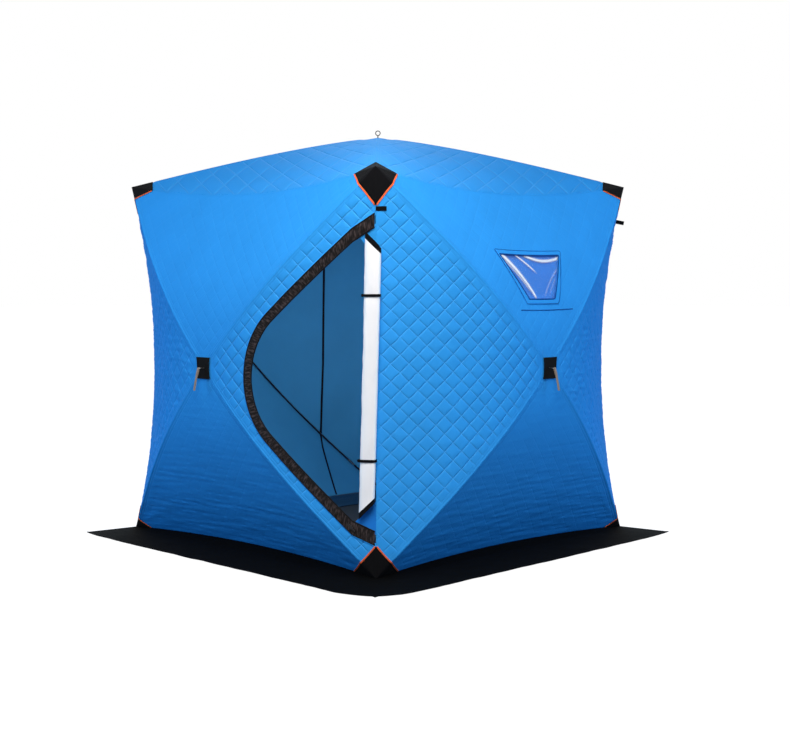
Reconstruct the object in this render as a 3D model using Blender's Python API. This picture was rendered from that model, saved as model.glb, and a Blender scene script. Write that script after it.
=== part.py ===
"""Quilted pop-up ice shelter.

Four walls and a roof of quilted fabric are each stretched over a hub and four poles. A hub pops in and out along
the normal of its panel, and its poles turn on their hub pins with it. Metres, +Z up, the door wall towards -Y and
the window wall towards +X. The origin is on the ground below the roof hub.
"""

import math

import bmesh
import bpy
from mathutils import Matrix, Vector

# Overall form
SIDE = 1.80  # along one wall, corner to corner
EAVE_HEIGHT = 1.775  # roof corners above the ground
WALL_BULGE = 0.235  # wall hub outside the plane of its wall's corners
ROOF_RISE = 0.25  # roof hub above the roof corners
WALL_BOW = 1.0  # 0 for straight poles, 1 for a quarter sine wave
ROOF_BOW = 0.3
SEAM_SAG = 0.075  # upright seams drawn in at mid height, in X and in Y
EAVE_SAG = 0.07  # eaves drawn in, and down, at mid length
HEM_SAG = 0.055  # hem drawn in at mid length
HEM_LIFT = 0.02  # hem lifted at mid length
APEX_RADIUS = 0.07  # rounding of the fabric over a hub

# Fabric
FABRIC = 0.004  # outer cloth, wadding and lining together
GAP = 0.0003  # between pieces that touch
PANEL_CELLS = 16

# Skirt on the ground, spread out along the front and right walls and turned in along the others
SKIRT_WIDTH = 0.31
SKIRT_ROUND = 0.25  # radius of the corner between the front and right walls
SKIRT_FLARE = 0.16  # a free end's slant, to its width
SKIRT_END_TRIM = 0.035  # narrower at a free end
SKIRT_END_CURVE = 8  # power of the curve of that trim
SKIRT_END_GAP = 0.012  # turned in ends from the corners
SKIRT_THICKNESS = 0.002
SKIRT_RAMP = 0.09  # over which the skirt comes down from the hem
SKIRT_LAP = 0.004  # skirt under the hem, past the cloth on each side
SKIRT_CELLS = 8

# Corner caps and feet, of which the ones on the door's upright seam are larger
CAP_EAVE_LEG = 0.15
CAP_DROP = 0.11
DOOR_CAP_DROP = 0.16
FOOT_RUN = 0.12
FOOT_RISE = 0.11
DOOR_FOOT_RUN = 0.15
DOOR_FOOT_RISE = 0.135
CAP_CELLS = 3
POCKET_NEAR = 0.054  # pole pocket's ends, from the corner
POCKET_FAR = 0.074
POCKET_CLEARANCE = 0.003
POCKET_SIDES = 12

# Hubs
HUB_RADIUS = 0.045
HUB_THICKNESS = 0.018
HUB_SHOULDER = 0.005  # boss between the hub's body and the fabric
HUB_BOSS_RADIUS = 0.014
HUB_STUD_RADIUS = 0.005
HUB_SIDES = 20
STUD_CLEARANCE = 0.0004
PIN_CIRCLE = 0.033  # hinge pins from the hub's axis
PIN_RADIUS = 0.0025
PIN_SIDES = 10
PIN_HOLD = 0.003  # pin's length inside each side of its slot

# Poles
POLE_RADIUS = 0.005
POLE_SIDES = 8
POLE_RUNS = 4
TIP_FROM_CORNER = 0.056
FERRULE_RADIUS = 0.0065
FERRULE_LENGTH = 0.05
FERRULE_FROM_CORNER = 0.235
FERRULE_SHOULDER = 0.004
EYE_RADIUS = 0.008
EYE_CLEARANCE = 0.0006
TONGUE_WIDTH = 0.008
TONGUE_TAPER = 0.006
SLOT_CLEARANCE = 0.0005

# Hub patches and pull straps
PATCH_WIDTH = 0.10
PATCH_HEIGHT = 0.12
PATCH_THICKNESS = 0.002
BRACKET_STAND = 0.028  # bracket's bar outside the patch
BRACKET_RADIUS = 0.002
BRACKET_WIDTH = 0.018
STRAP_LENGTH = 0.095
STRAP_WIDTH = 0.012
STRAP_THICKNESS = 0.003
STRAP_WALL = 0.002
STRAP_CLEARANCE = 0.0006

# Roof eye
EYE_BOLT_RING = 0.01175  # centre of the wire
EYE_BOLT_WIRE = 0.00225
EYE_BOLT_HEIGHT = 0.030  # ring's centre above the roof
EYE_BOLT_STEM = 0.003
EYE_BOLT_WASHER = 0.016
EYE_BOLT_WASHER_THICKNESS = 0.002

# Door, whose zip runs beside the poles and turns round in front of the hub
DOOR_TOP_OFFSET = 0.103  # zip below the upper pole
DOOR_LOW_OFFSET = 0.057  # zip above the lower pole
DOOR_BEND = 0.39  # radius where the zip turns
DOOR_BELOW_EAVE = 0.20  # zip's ends on the upright seam
DOOR_BOTTOM = 0.149
DOOR_END = 0.10  # over which the zip's ends flatten
BAND_WIDTH = 0.038
DOOR_RUN_CELLS = 5
DOOR_BEND_CELLS = 10
SLIDER_PROBE = 0.02  # step in u and v that finds the zip's slope
SLIDER_LENGTH = 0.028
SLIDER_WIDTH = 0.013
SLIDER_HEIGHT = 0.007
SLIDER_TAB_LENGTH = 0.032
SLIDER_TAB_THICKNESS = 0.0025

# Door flap, rolled up outside the upright seam and tied to it
FLAP_BELOW_EAVE = 0.327
FLAP_BOTTOM = 0.288
FLAP_WIDTH = 0.075
FLAP_TOP_ASIDE = 0.008  # middle of the roll from the seam
FLAP_BOTTOM_ASIDE = 0.039
FLAP_THICKNESS = 0.044
FLAP_TOP_SLANT = 0.075
FLAP_BOTTOM_SLANT = 0.0625
FLAP_SEAT = 0.0004
FLAP_ROWS = 12
FLAP_SIDES = 16
TIE_FROM_END = 0.22  # a tie from its end of the flap
TIE_WIDTH = 0.02
TIE_THICKNESS = 0.002
TIE_CLEARANCE = 0.0009

# Window
WINDOW_BELOW_EAVE = 0.335
WINDOW_HEIGHT = 0.225
WINDOW_TOP_WIDTH = 0.444
WINDOW_BOTTOM_WIDTH = 0.193
WINDOW_ASIDE = 0.012  # window's middle from the wall's, towards the door's upright seam
WINDOW_CELLS = 4
FILM = 0.001

# Guy tabs
TAB_BELOW_EAVE = 0.175
TAB_LENGTH = 0.045
TAB_WIDTH = 0.020
TAB_THICKNESS = 0.0025
TAB_LEANS = {"front_right": 95, "front_left": -95, "back_right": 0, "back_left": 95}  # degrees

# Worked out from the sizes above
HALF = SIDE / 2
HEM_HEIGHT = SKIRT_THICKNESS + GAP
SLOT_WIDTH = TONGUE_WIDTH + 2 * SLOT_CLEARANCE
REACH = 2 * SIDE  # longer than any cut
CUT_SPAN = 4 * CAP_EAVE_LEG
DOOR_TOP = EAVE_HEIGHT - DOOR_BELOW_EAVE
FLAP_TOP = EAVE_HEIGHT - FLAP_BELOW_EAVE
TIE_HEIGHTS = {"upper": FLAP_TOP - TIE_FROM_END, "lower": FLAP_BOTTOM + TIE_FROM_END}
WINDOW_TOP = EAVE_HEIGHT - WINDOW_BELOW_EAVE
WINDOW_BOTTOM = WINDOW_TOP - WINDOW_HEIGHT
TAB_HEIGHT = EAVE_HEIGHT - TAB_BELOW_EAVE
X, Y, Z = (Vector(axis) for axis in Matrix.Identity(3))
STRAP_REACH = WALL_BULGE + GAP + PATCH_THICKNESS + BRACKET_STAND + BRACKET_RADIUS + STRAP_CLEARANCE + STRAP_WALL
SKIRT_PAST_STRAP = max(SKIRT_WIDTH - STRAP_REACH, 0)
MIDDLE = (Y - X) * SKIRT_PAST_STRAP / 2  # middle of the four walls, from the middle of the whole footprint


class Panel:
    """One square of fabric over a hub and four poles, where u and v run from -1 to 1."""

    def __init__(self, name, centre, normal, up, half_up, bulge, bow, sags, hem):
        self.name = name
        self.centre = centre
        self.normal = normal
        self.up = up
        self.across = up.cross(normal)
        self.half_across = HALF
        self.half_up = half_up
        self.bulge = bulge
        self.bow = bow
        self.sags = sags
        self.hem = hem
        self.diagonal = math.hypot(HALF, half_up)

    def ridge(self, ring):
        """Height of the fabric over a pole, at a share of the way out from the hub."""
        rounding = APEX_RADIUS / HALF
        outward = (math.hypot(ring, rounding) - rounding) / (math.hypot(1, rounding) - rounding)
        straight = 1 - outward
        return self.bulge * ((1 - self.bow) * straight + self.bow * math.sin(math.pi / 2 * straight))

    def place(self, across, up, out):
        """A point from its distances along the panel's own axes."""
        return self.centre + self.across * across + self.up * up + self.normal * out

    def point(self, u, v):
        """A point on the outer cloth, which sags between the poles and towards the panel's edges."""
        ring = max(abs(u), abs(v))
        upright = abs(u) >= abs(v)
        along = 0 if ring == 0 else (v if upright else u) / ring
        edge = "side" if upright else ("top" if v > 0 else "bottom")
        inward, down = (share * ring**2 * (1 - along**2) for share in self.sags[edge])
        across = u * self.half_across - (math.copysign(inward, u) if upright else 0)
        up = v * self.half_up - (0 if upright else math.copysign(inward, v))
        return self.place(across, up, self.ridge(ring) - down)

    def seam(self, u, v):
        """How far a point at the panel's edge lies towards the mitre with its neighbours."""
        sideways = self.across * (math.copysign(1, u) if abs(u) == 1 else 0)
        free = v == -1 and self.hem
        lengthways = self.up * (math.copysign(1, v) if abs(v) == 1 and not free else 0)
        return sideways + lengthways

    def lining(self, u, v):
        """The point on the lining behind point(u, v), on the mitre at an edge."""
        return self.point(u, v) - (self.normal + self.seam(u, v)) * FABRIC

    def level(self, height):
        """The v of a height above the ground."""
        return (height - self.centre.z) / self.half_up

    def seat_depth(self):
        """The hub's boss below the top of the outer cloth, clear of the lining's slope."""
        step = 2 / PANEL_CELLS
        around = ((step, 0), (0, step), (0, -step))
        drops = [self.normal.dot(self.point(0, 0) - self.point(*near)) for near in around]
        return FABRIC + GAP + max(drops) * HUB_BOSS_RADIUS / (step * min(self.half_across, self.half_up))

    def pin_depth(self):
        """The hinge pins below the top of the outer cloth."""
        return self.seat_depth() + HUB_SHOULDER + HUB_THICKNESS / 2

    def pole_depth(self):
        """A pole's axis below the outer cloth."""
        return self.pin_depth() - (self.bulge - self.ridge(PIN_CIRCLE / self.diagonal))

    def pole_direction(self, right, top):
        """Along a pole from the hub, in the plane of the panel."""
        return (self.across * right * self.half_across + self.up * top * self.half_up).normalized()

    def pole_point(self, right, top, distance):
        """A point on a pole's axis, at a distance from the hub's axis."""
        out = self.ridge(distance / self.diagonal) - self.pole_depth()
        return self.centre + self.pole_direction(right, top) * distance + self.normal * out

    def apex(self):
        """The outer cloth over the hub, with the panel's axes as the columns of a matrix."""
        turn = Matrix((self.across, self.up, self.normal)).transposed().to_4x4()
        return Matrix.Translation(self.point(0, 0)) @ turn


def wall(name, normal):
    """A wall, whose lower edge is a free hem."""
    half_up = (EAVE_HEIGHT - HEM_HEIGHT) / 2
    centre = MIDDLE + normal * HALF + Z * (HEM_HEIGHT + half_up)
    sags = {"side": (SEAM_SAG, SEAM_SAG), "top": (EAVE_SAG, EAVE_SAG), "bottom": (HEM_LIFT, HEM_SAG)}
    return Panel(name, centre, normal, Z, half_up, WALL_BULGE, WALL_BOW, sags, True)


def roof():
    """The roof, which meets the walls along the eaves."""
    sags = dict.fromkeys(("side", "top", "bottom"), (EAVE_SAG, EAVE_SAG))
    return Panel("roof", MIDDLE + Z * EAVE_HEIGHT, Z, Y, HALF, ROOF_RISE, ROOF_BOW, sags, False)


FACING = {"front": -Y, "right": X, "back": Y, "left": -X}
WALLS = {name: wall(name, normal) for name, normal in FACING.items()}
ROOF = roof()
PANELS = {**WALLS, "roof": ROOF}
CORNERS = {
    "front_right": X - Y,
    "front_left": -X - Y,
    "back_right": X + Y,
    "back_left": Y - X,
}
DOOR_CORNER = "front_right"
FRONT_EDGE = 1  # u of the upright seam beside the door


def material(name, colour, roughness, metallic=0.0, alpha=1.0):
    """A plain finish."""
    made = bpy.data.materials.new(name)
    made.use_nodes = True
    shader = made.node_tree.nodes["Principled BSDF"]
    shader.inputs["Base Color"].default_value = (*colour, 1)
    shader.inputs["Roughness"].default_value = roughness
    shader.inputs["Metallic"].default_value = metallic
    shader.inputs["Alpha"].default_value = alpha
    made.diffuse_color = (*colour, alpha)
    return made


def finish(name, bm, finish_material, origin=None):
    """Makes a mesh into a named object, with its origin on its joint where it moves."""
    origin = origin or Vector()
    bmesh.ops.remove_doubles(bm, verts=bm.verts, dist=1e-6)
    bmesh.ops.recalc_face_normals(bm, faces=bm.faces)
    bmesh.ops.translate(bm, vec=-origin, verts=bm.verts)
    mesh = bpy.data.meshes.new(name)
    bm.to_mesh(mesh)
    bm.free()
    made = bpy.data.objects.new(name, mesh)
    made.location = origin
    bpy.context.collection.objects.link(made)
    if finish_material:
        mesh.materials.append(finish_material)
        mesh.shade_smooth()
        mesh.set_sharp_from_angle(angle=math.radians(30))
    return made


def tool(name, bm):
    """A hidden shape that cuts or joins others."""
    made = finish(name, bm, None)
    made.hide_render = True
    made.display_type = "WIRE"
    return made


def combine(piece, operation, other):
    """Cuts, joins or trims a piece with a hidden shape."""
    step = piece.modifiers.new(other.name, "BOOLEAN")
    step.operation = operation
    step.solver = "EXACT"
    step.object = other


def add_quad(bm, corners, from_first):
    """Two triangles, split from the first corner to the third or from the second to the fourth."""
    a, b, c, d = corners
    for face in ((a, b, c), (a, c, d)) if from_first else ((a, b, d), (b, c, d)):
        bm.faces.new(face)


def add_sheet(bm, front, back, from_first=lambda i, j: True, rims=("start", "end", "left", "right")):
    """Joins two matching grids of points into a sheet, closed along the named rims."""
    fronts = [[bm.verts.new(point) for point in row] for row in front]
    backs = [[bm.verts.new(point) for point in row] for row in back]
    rows = len(front) - 1
    columns = len(front[0]) - 1
    for i in range(rows):
        for j in range(columns):
            for grid in (fronts, backs):
                cell = (grid[i][j], grid[i][j + 1], grid[i + 1][j + 1], grid[i + 1][j])
                add_quad(bm, cell, from_first(i, j))
    borders = {
        "start": [(0, j) for j in range(columns + 1)],
        "end": [(rows, j) for j in range(columns + 1)],
        "left": [(i, 0) for i in range(rows + 1)],
        "right": [(i, columns) for i in range(rows + 1)],
    }
    for rim in rims:
        for (i, j), (k, m) in zip(borders[rim], borders[rim][1:]):
            add_quad(bm, (fronts[i][j], fronts[k][m], backs[k][m], backs[i][j]), True)


def add_turned(bm, profile, sides, place, closed=False):
    """Turns a profile of radius and height about the Z axis of a matrix."""
    verts = [bm.verts.new((radius, 0, height)) for radius, height in profile]
    pairs = list(zip(verts, verts[1:])) + ([(verts[-1], verts[0])] if closed else [])
    edges = [bm.edges.new(pair) for pair in pairs]
    spun = bmesh.ops.spin(
        bm, geom=verts + edges, cent=(0, 0, 0), axis=(0, 0, 1), angle=math.tau, steps=sides, use_merge=True
    )
    made = {v for v in spun["geom_last"] if isinstance(v, bmesh.types.BMVert)} | set(verts)
    grown = set(made)
    while made:
        made = {e.other_vert(v) for v in made for e in v.link_edges} - grown
        grown |= made
    bmesh.ops.remove_doubles(bm, verts=[v for v in grown if v.is_valid], dist=1e-7)
    bmesh.ops.transform(bm, matrix=place, verts=[v for v in grown if v.is_valid])


def add_tube(bm, stations, sides, side_axis):
    """A tube through (point, radius) stations, with flat ends."""
    rings = []
    for index, (centre, radius) in enumerate(stations):
        before = stations[max(index - 1, 0)][0]
        after = stations[min(index + 1, len(stations) - 1)][0]
        third = (after - before).normalized().cross(side_axis).normalized()
        turns = (math.tau * (k + 0.5) / sides for k in range(sides))
        spokes = (side_axis * math.cos(turn) + third * math.sin(turn) for turn in turns)
        rings.append([bm.verts.new(centre + spoke * radius) for spoke in spokes])
    for ring, following in zip(rings, rings[1:]):
        for k in range(sides):
            m = (k + 1) % sides
            bm.faces.new((ring[k], ring[m], following[m], following[k]))
    bm.faces.new(rings[0])
    bm.faces.new(rings[-1])


def add_box(bm, place, low, high):
    """A box between two corners in the axes of a matrix."""
    size = [b - a for a, b in zip(low, high)]
    middle = Vector([(a + b) / 2 for a, b in zip(low, high)])
    made = bmesh.ops.create_cube(bm, size=1)["verts"]
    bmesh.ops.scale(bm, vec=size, verts=made)
    bmesh.ops.transform(bm, matrix=place @ Matrix.Translation(middle), verts=made)


def axis_matrix(origin, along):
    """A matrix whose Z runs along a direction."""
    return Matrix.Translation(origin) @ along.to_track_quat("Z", "Y").to_matrix().to_4x4()


def axes_matrix(origin, first, second, third):
    """A matrix from its origin and three axes."""
    return Matrix.Translation(origin) @ Matrix((first, second, third)).transposed().to_4x4()


# Fabric panels
def edge_steps(cells):
    """Even steps from -1 to 1, with exact ends and middle."""
    return [2 * k / cells - 1 for k in range(cells + 1)]


def panel_piece(panel, cloth):
    """The quilted sheet of one panel, with a hole for the hub's stud."""
    steps = edge_steps(PANEL_CELLS)
    front = [[panel.point(u, v) - panel.seam(u, v) * GAP for u in steps] for v in steps]
    back = [[panel.lining(u, v) - panel.seam(u, v) * GAP for u in steps] for v in steps]
    bm = bmesh.new()
    half = PANEL_CELLS // 2
    add_sheet(bm, front, back, from_first=lambda i, j: (i < half) == (j < half))
    name = "roof" if panel is ROOF else f"wall_{panel.name}"
    piece = finish(name, bm, cloth)
    bm = bmesh.new()
    radius = HUB_STUD_RADIUS + STUD_CLEARANCE
    add_turned(bm, [(0, -REACH), (radius, -REACH), (radius, REACH), (0, REACH)], HUB_SIDES, panel.apex())
    combine(piece, "DIFFERENCE", tool(f"stud_hole_{panel.name}", bm))
    return piece


# Corner caps and feet
def panels_at(corner):
    """The two walls that meet at an upright seam, each with the sign of its u there."""
    met = [(panel, corner.dot(panel.across)) for panel in WALLS.values() if corner.dot(panel.normal) > 0]
    return [(panel, int(math.copysign(1, side))) for panel, side in met]


def corner_plane(corner, top, run, rise):
    """The plane that parts a cap or a foot from the panels, as a matrix whose Z points at the corner."""
    (first, u), (second, w) = panels_at(corner)
    a = first.point(u * (1 - run / first.half_across), top)
    b = second.point(w * (1 - run / second.half_across), top)
    c = first.point(u, top * (1 - rise / first.half_up))
    outward = (b - a).cross(c - a).normalized()
    if outward.dot(first.point(u, top) - a) < 0:
        outward.negate()
    return axis_matrix((a + b + c) / 3, outward)


def add_half_space(bm, plane, shift):
    """A block on the corner's side of the plane."""
    add_box(bm, plane, (-CUT_SPAN / 2, -CUT_SPAN / 2, shift), (CUT_SPAN / 2, CUT_SPAN / 2, CUT_SPAN))


def corner_sizes(name, top):
    """A cap's leg along the eave and drop, or a foot's run along the hem and rise."""
    if name == DOOR_CORNER:
        return (CAP_EAVE_LEG, DOOR_CAP_DROP) if top > 0 else (DOOR_FOOT_RUN, DOOR_FOOT_RISE)
    return (CAP_EAVE_LEG, CAP_DROP) if top > 0 else (FOOT_RUN, FOOT_RISE)


def corner_piece(name, corner, top, webbing):
    """A cap or a foot: the corner of the shell, with a pocket inside for each pole."""
    run, rise = corner_sizes(name, top)
    faces = [(panel, u, top) for panel, u in panels_at(corner)]
    if top > 0:
        faces.append((ROOF, int(corner.x), int(corner.y)))
    block = 2 * max(run, rise)
    bm = bmesh.new()
    for panel, u_end, v_end in faces:
        us = [u_end * (1 - block * k / CAP_CELLS / panel.half_across) for k in range(CAP_CELLS + 1)]
        vs = [v_end * (1 - block * k / CAP_CELLS / panel.half_up) for k in range(CAP_CELLS + 1)]
        front = [[panel.point(u, v) for u in us] for v in vs]
        back = [[panel.lining(u, v) for u in us] for v in vs]
        rims = ["end", "right"] + (["start"] if top < 0 else [])
        add_sheet(bm, front, back, rims=rims)
    kind = "corner_cap" if top > 0 else "corner_foot"
    piece = finish(f"{kind}_{name}", bm, webbing)
    bm = bmesh.new()
    add_half_space(bm, corner_plane(corner, top, run, rise), GAP)
    combine(piece, "INTERSECT", tool(f"trim_{kind}_{name}", bm))
    pockets = []
    for panel, right, up in faces:
        far = panel.pole_point(right, up, panel.diagonal - POCKET_FAR)
        near = panel.pole_point(right, up, panel.diagonal - POCKET_NEAR)
        slope = math.cos(math.atan(0.5 * math.pi * panel.bulge / HALF))
        outer = panel.pole_depth() * slope - FABRIC / 2
        pockets.append((axis_matrix(far, near - far), (near - far).length, outer))
    bore = POLE_RADIUS + POCKET_CLEARANCE
    for index, (place, length, outer) in enumerate(pockets):
        bm = bmesh.new()
        add_turned(bm, [(outer, 0), (outer, length), (bore, length), (bore, 0)], POCKET_SIDES, place, True)
        combine(piece, "UNION", tool(f"pocket_{kind}_{name}_{index}", bm))
    return piece


# Skirt
def skirt_edge(panel, along, joined):
    """The outer edge of the skirt where it is spread out: an arc at a joined corner, a slight curve at a free end."""
    edge = HALF + SKIRT_WIDTH
    if joined:
        straight = 1 - SKIRT_ROUND / edge
        turn = math.pi / 4 * max(abs(along) - straight, 0) / (1 - straight)
        out = edge - SKIRT_ROUND * (1 - math.cos(turn))
        aside = edge * min(abs(along), straight) + SKIRT_ROUND * math.sin(turn)
    else:
        out = edge - SKIRT_END_TRIM * along**SKIRT_END_CURVE
        aside = abs(along) * (HALF + SKIRT_FLARE * SKIRT_WIDTH)
    return MIDDLE + panel.normal * out + panel.across * math.copysign(aside, along)


def skirt_station(panel, along, turned_in, joined):
    """Points across the skirt, from its edge under the hem to its edge on the ground."""
    share = 1 - along**2
    hem = -HEM_SAG * share
    inside = hem - FABRIC - SKIRT_LAP
    outside = hem + SKIRT_LAP
    outs = (outside, inside, hem - SKIRT_RAMP, -SKIRT_WIDTH) if turned_in else (inside, outside, SKIRT_RAMP + hem)
    flats = []
    for out in outs:
        spread = out if joined else SKIRT_FLARE * out - (SKIRT_END_GAP if turned_in else 0)
        flats.append(MIDDLE + panel.normal * (HALF + out) + panel.across * along * (HALF + spread))
    if not turned_in:
        flats.append(skirt_edge(panel, along, joined))
    lift = HEM_LIFT * share
    return [(flat + Z * (up + SKIRT_THICKNESS), flat + Z * up) for flat, up in zip(flats, (lift, lift, 0, 0))]


def skirt(name, walls, turned_in, cloth):
    """Two sides of the flange on the ground, joined at the corner between their walls."""
    steps = [math.sin(math.pi / 2 * step) for step in edge_steps(SKIRT_CELLS)]
    first, second = (WALLS[wall] for wall in walls)
    loops = [skirt_station(first, along, turned_in, along > 0) for along in steps[:-1]]
    loops += [skirt_station(second, along, turned_in, along < 0) for along in steps]
    bm = bmesh.new()
    front = [[top for top, bottom in station] for station in loops]
    back = [[bottom for top, bottom in station] for station in loops]
    add_sheet(bm, front, back)
    return finish(name, bm, cloth)


# Hubs and poles
def pole_signs():
    """The four poles of a panel, as the signs of their u and v."""
    return [(right, top) for top in (1, -1) for right in (-1, 1)]


def hub(panel, plastic):
    """The moulded hub inside the fabric, with a slot and a pin for each pole and a stud through the cloth."""
    place = panel.apex()
    seat = -panel.seat_depth()
    high = seat - HUB_SHOULDER
    low = high - HUB_THICKNESS
    profile = [(0, low), (HUB_RADIUS, low), (HUB_RADIUS, high), (HUB_BOSS_RADIUS, high)]
    profile += [(HUB_BOSS_RADIUS, seat), (HUB_STUD_RADIUS, seat), (HUB_STUD_RADIUS, 0), (0, 0)]
    bm = bmesh.new()
    add_turned(bm, profile, HUB_SIDES, place)
    piece = finish(f"hub_{panel.name}", bm, plastic, panel.point(0, 0))
    slots = bmesh.new()
    pins = bmesh.new()
    inner = PIN_CIRCLE - EYE_RADIUS - 2 * SLOT_CLEARANCE
    half_pin = SLOT_WIDTH / 2 + PIN_HOLD
    for right, top in pole_signs():
        along = panel.pole_direction(right, top)
        across = along.cross(panel.normal)
        middle = panel.point(0, 0) - panel.normal * panel.pin_depth()
        axes = axes_matrix(middle, along, across, panel.normal)
        reach = (2 * HUB_RADIUS, SLOT_WIDTH / 2, HUB_THICKNESS)
        add_box(slots, axes, (inner, -reach[1], -reach[2]), reach)
        pin = axis_matrix(middle + along * PIN_CIRCLE, across)
        rod = [(0, -half_pin), (PIN_RADIUS, -half_pin), (PIN_RADIUS, half_pin), (0, half_pin)]
        add_turned(pins, rod, PIN_SIDES, pin)
    combine(piece, "DIFFERENCE", tool(f"slots_{panel.name}", slots))
    combine(piece, "UNION", tool(f"pins_{panel.name}", pins))
    return piece


def pole_name(panel, right, top):
    """A pole's name from the corner of its panel, as seen from outside."""
    if panel is ROOF:
        return f"pole_roof_{'back' if top > 0 else 'front'}_{'right' if right > 0 else 'left'}"
    return f"pole_{panel.name}_{'top' if top > 0 else 'bottom'}_{'right' if right > 0 else 'left'}"


def pole(panel, right, top, fibreglass):
    """A bowed pole with an eye on the hub's pin, a ferrule and a tip in the corner pocket."""
    along = panel.pole_direction(right, top)
    across = along.cross(panel.normal)
    pivot = panel.pole_point(right, top, PIN_CIRCLE)
    tip = panel.diagonal - TIP_FROM_CORNER
    ferrule_end = panel.diagonal - FERRULE_FROM_CORNER
    ferrule_start = ferrule_end - FERRULE_LENGTH
    neck = HUB_RADIUS + TONGUE_TAPER
    thin = TONGUE_WIDTH / 2 - SLOT_CLEARANCE / 2
    full = neck + TONGUE_TAPER
    run = (ferrule_start - full) / POLE_RUNS
    sizes = [(PIN_CIRCLE + EYE_RADIUS - TONGUE_TAPER / 2, thin), (neck, thin), (full, POLE_RADIUS)]
    sizes += [(full + run * k, POLE_RADIUS) for k in range(1, POLE_RUNS + 1)]
    sizes += [(ferrule_start + FERRULE_SHOULDER, FERRULE_RADIUS)]
    sizes += [(ferrule_end - FERRULE_SHOULDER, FERRULE_RADIUS)]
    sizes += [(ferrule_end, POLE_RADIUS), ((ferrule_end + tip) / 2, POLE_RADIUS), (tip, POLE_RADIUS)]
    bm = bmesh.new()
    add_tube(bm, [(panel.pole_point(right, top, x), radius) for x, radius in sizes], POLE_SIDES, across)
    name = pole_name(panel, right, top)
    piece = finish(name, bm, fibreglass, pivot)
    bm = bmesh.new()
    hole = PIN_RADIUS + EYE_CLEARANCE
    half = TONGUE_WIDTH / 2
    ring = [(EYE_RADIUS, -half), (EYE_RADIUS, half), (hole, half), (hole, -half)]
    add_turned(bm, ring, PIN_SIDES, axis_matrix(pivot, across), True)
    combine(piece, "UNION", tool(f"eye_{name}", bm))
    return piece


# Hub patches, pull straps and roof eye
def bracket_bar(panel):
    """The middle of the bar that a pull strap hangs on."""
    return panel.point(0, 0) + panel.normal * (GAP + PATCH_THICKNESS + BRACKET_STAND)


def hub_patch(panel, webbing):
    """The patch outside the fabric over a hub, with a wire bracket."""
    place = panel.apex()
    half = BRACKET_WIDTH / 2
    bm = bmesh.new()
    low = (-PATCH_WIDTH / 2, -PATCH_HEIGHT / 2, GAP)
    high = (PATCH_WIDTH / 2, PATCH_HEIGHT / 2, GAP + PATCH_THICKNESS)
    add_box(bm, place, low, high)
    piece = finish(f"hub_patch_{panel.name}", bm, webbing, panel.point(0, 0))
    bar = bracket_bar(panel)
    foot = bar - panel.normal * (BRACKET_STAND + PATCH_THICKNESS / 2)
    side = panel.across * half
    ends = [foot - side, bar - side, bar + side, foot + side]
    bm = bmesh.new()
    add_tube(bm, [(end, BRACKET_RADIUS) for end in ends], PIN_SIDES, panel.up)
    combine(piece, "UNION", tool(f"bracket_{panel.name}", bm))
    return piece


def pull_strap(panel, tape):
    """A webbing strap that hangs from the bracket by an eye."""
    bar = bracket_bar(panel)
    hole = BRACKET_RADIUS + STRAP_CLEARANCE
    outer = hole + STRAP_WALL
    half = STRAP_WIDTH / 2
    bm = bmesh.new()
    axes = axes_matrix(bar, panel.across, panel.up, panel.normal)
    top = STRAP_WALL / 2 - outer
    add_box(bm, axes, (-half, -STRAP_LENGTH, -STRAP_THICKNESS / 2), (half, top, STRAP_THICKNESS / 2))
    piece = finish(f"pull_strap_{panel.name}", bm, tape, bar)
    bm = bmesh.new()
    profile = [(outer, -half), (outer, half), (hole, half), (hole, -half)]
    add_turned(bm, profile, PIN_SIDES, axis_matrix(bar, panel.across), True)
    combine(piece, "UNION", tool(f"strap_eye_{panel.name}", bm))
    return piece


def roof_eye(metal):
    """The eye bolt on the roof hub, whose ring faces the door's upright seam."""
    base = GAP
    top = base + EYE_BOLT_WASHER_THICKNESS
    tip = EYE_BOLT_HEIGHT - EYE_BOLT_RING
    profile = [(0, base), (EYE_BOLT_WASHER, base), (EYE_BOLT_WASHER, top)]
    profile += [(EYE_BOLT_STEM, top), (EYE_BOLT_STEM, tip), (0, tip)]
    bm = bmesh.new()
    add_turned(bm, profile, POCKET_SIDES, ROOF.apex())
    piece = finish("roof_eye", bm, metal, ROOF.point(0, 0))
    centre = ROOF.point(0, 0) + Z * EYE_BOLT_HEIGHT
    turns = [math.tau * k / POLE_SIDES for k in range(POLE_SIDES)]
    wire = [(EYE_BOLT_RING + EYE_BOLT_WIRE * math.cos(t), EYE_BOLT_WIRE * math.sin(t)) for t in turns]
    bm = bmesh.new()
    add_turned(bm, wire, HUB_SIDES, axis_matrix(centre, CORNERS[DOOR_CORNER].normalized()), True)
    combine(piece, "UNION", tool("eye_ring", bm))
    return piece


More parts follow.
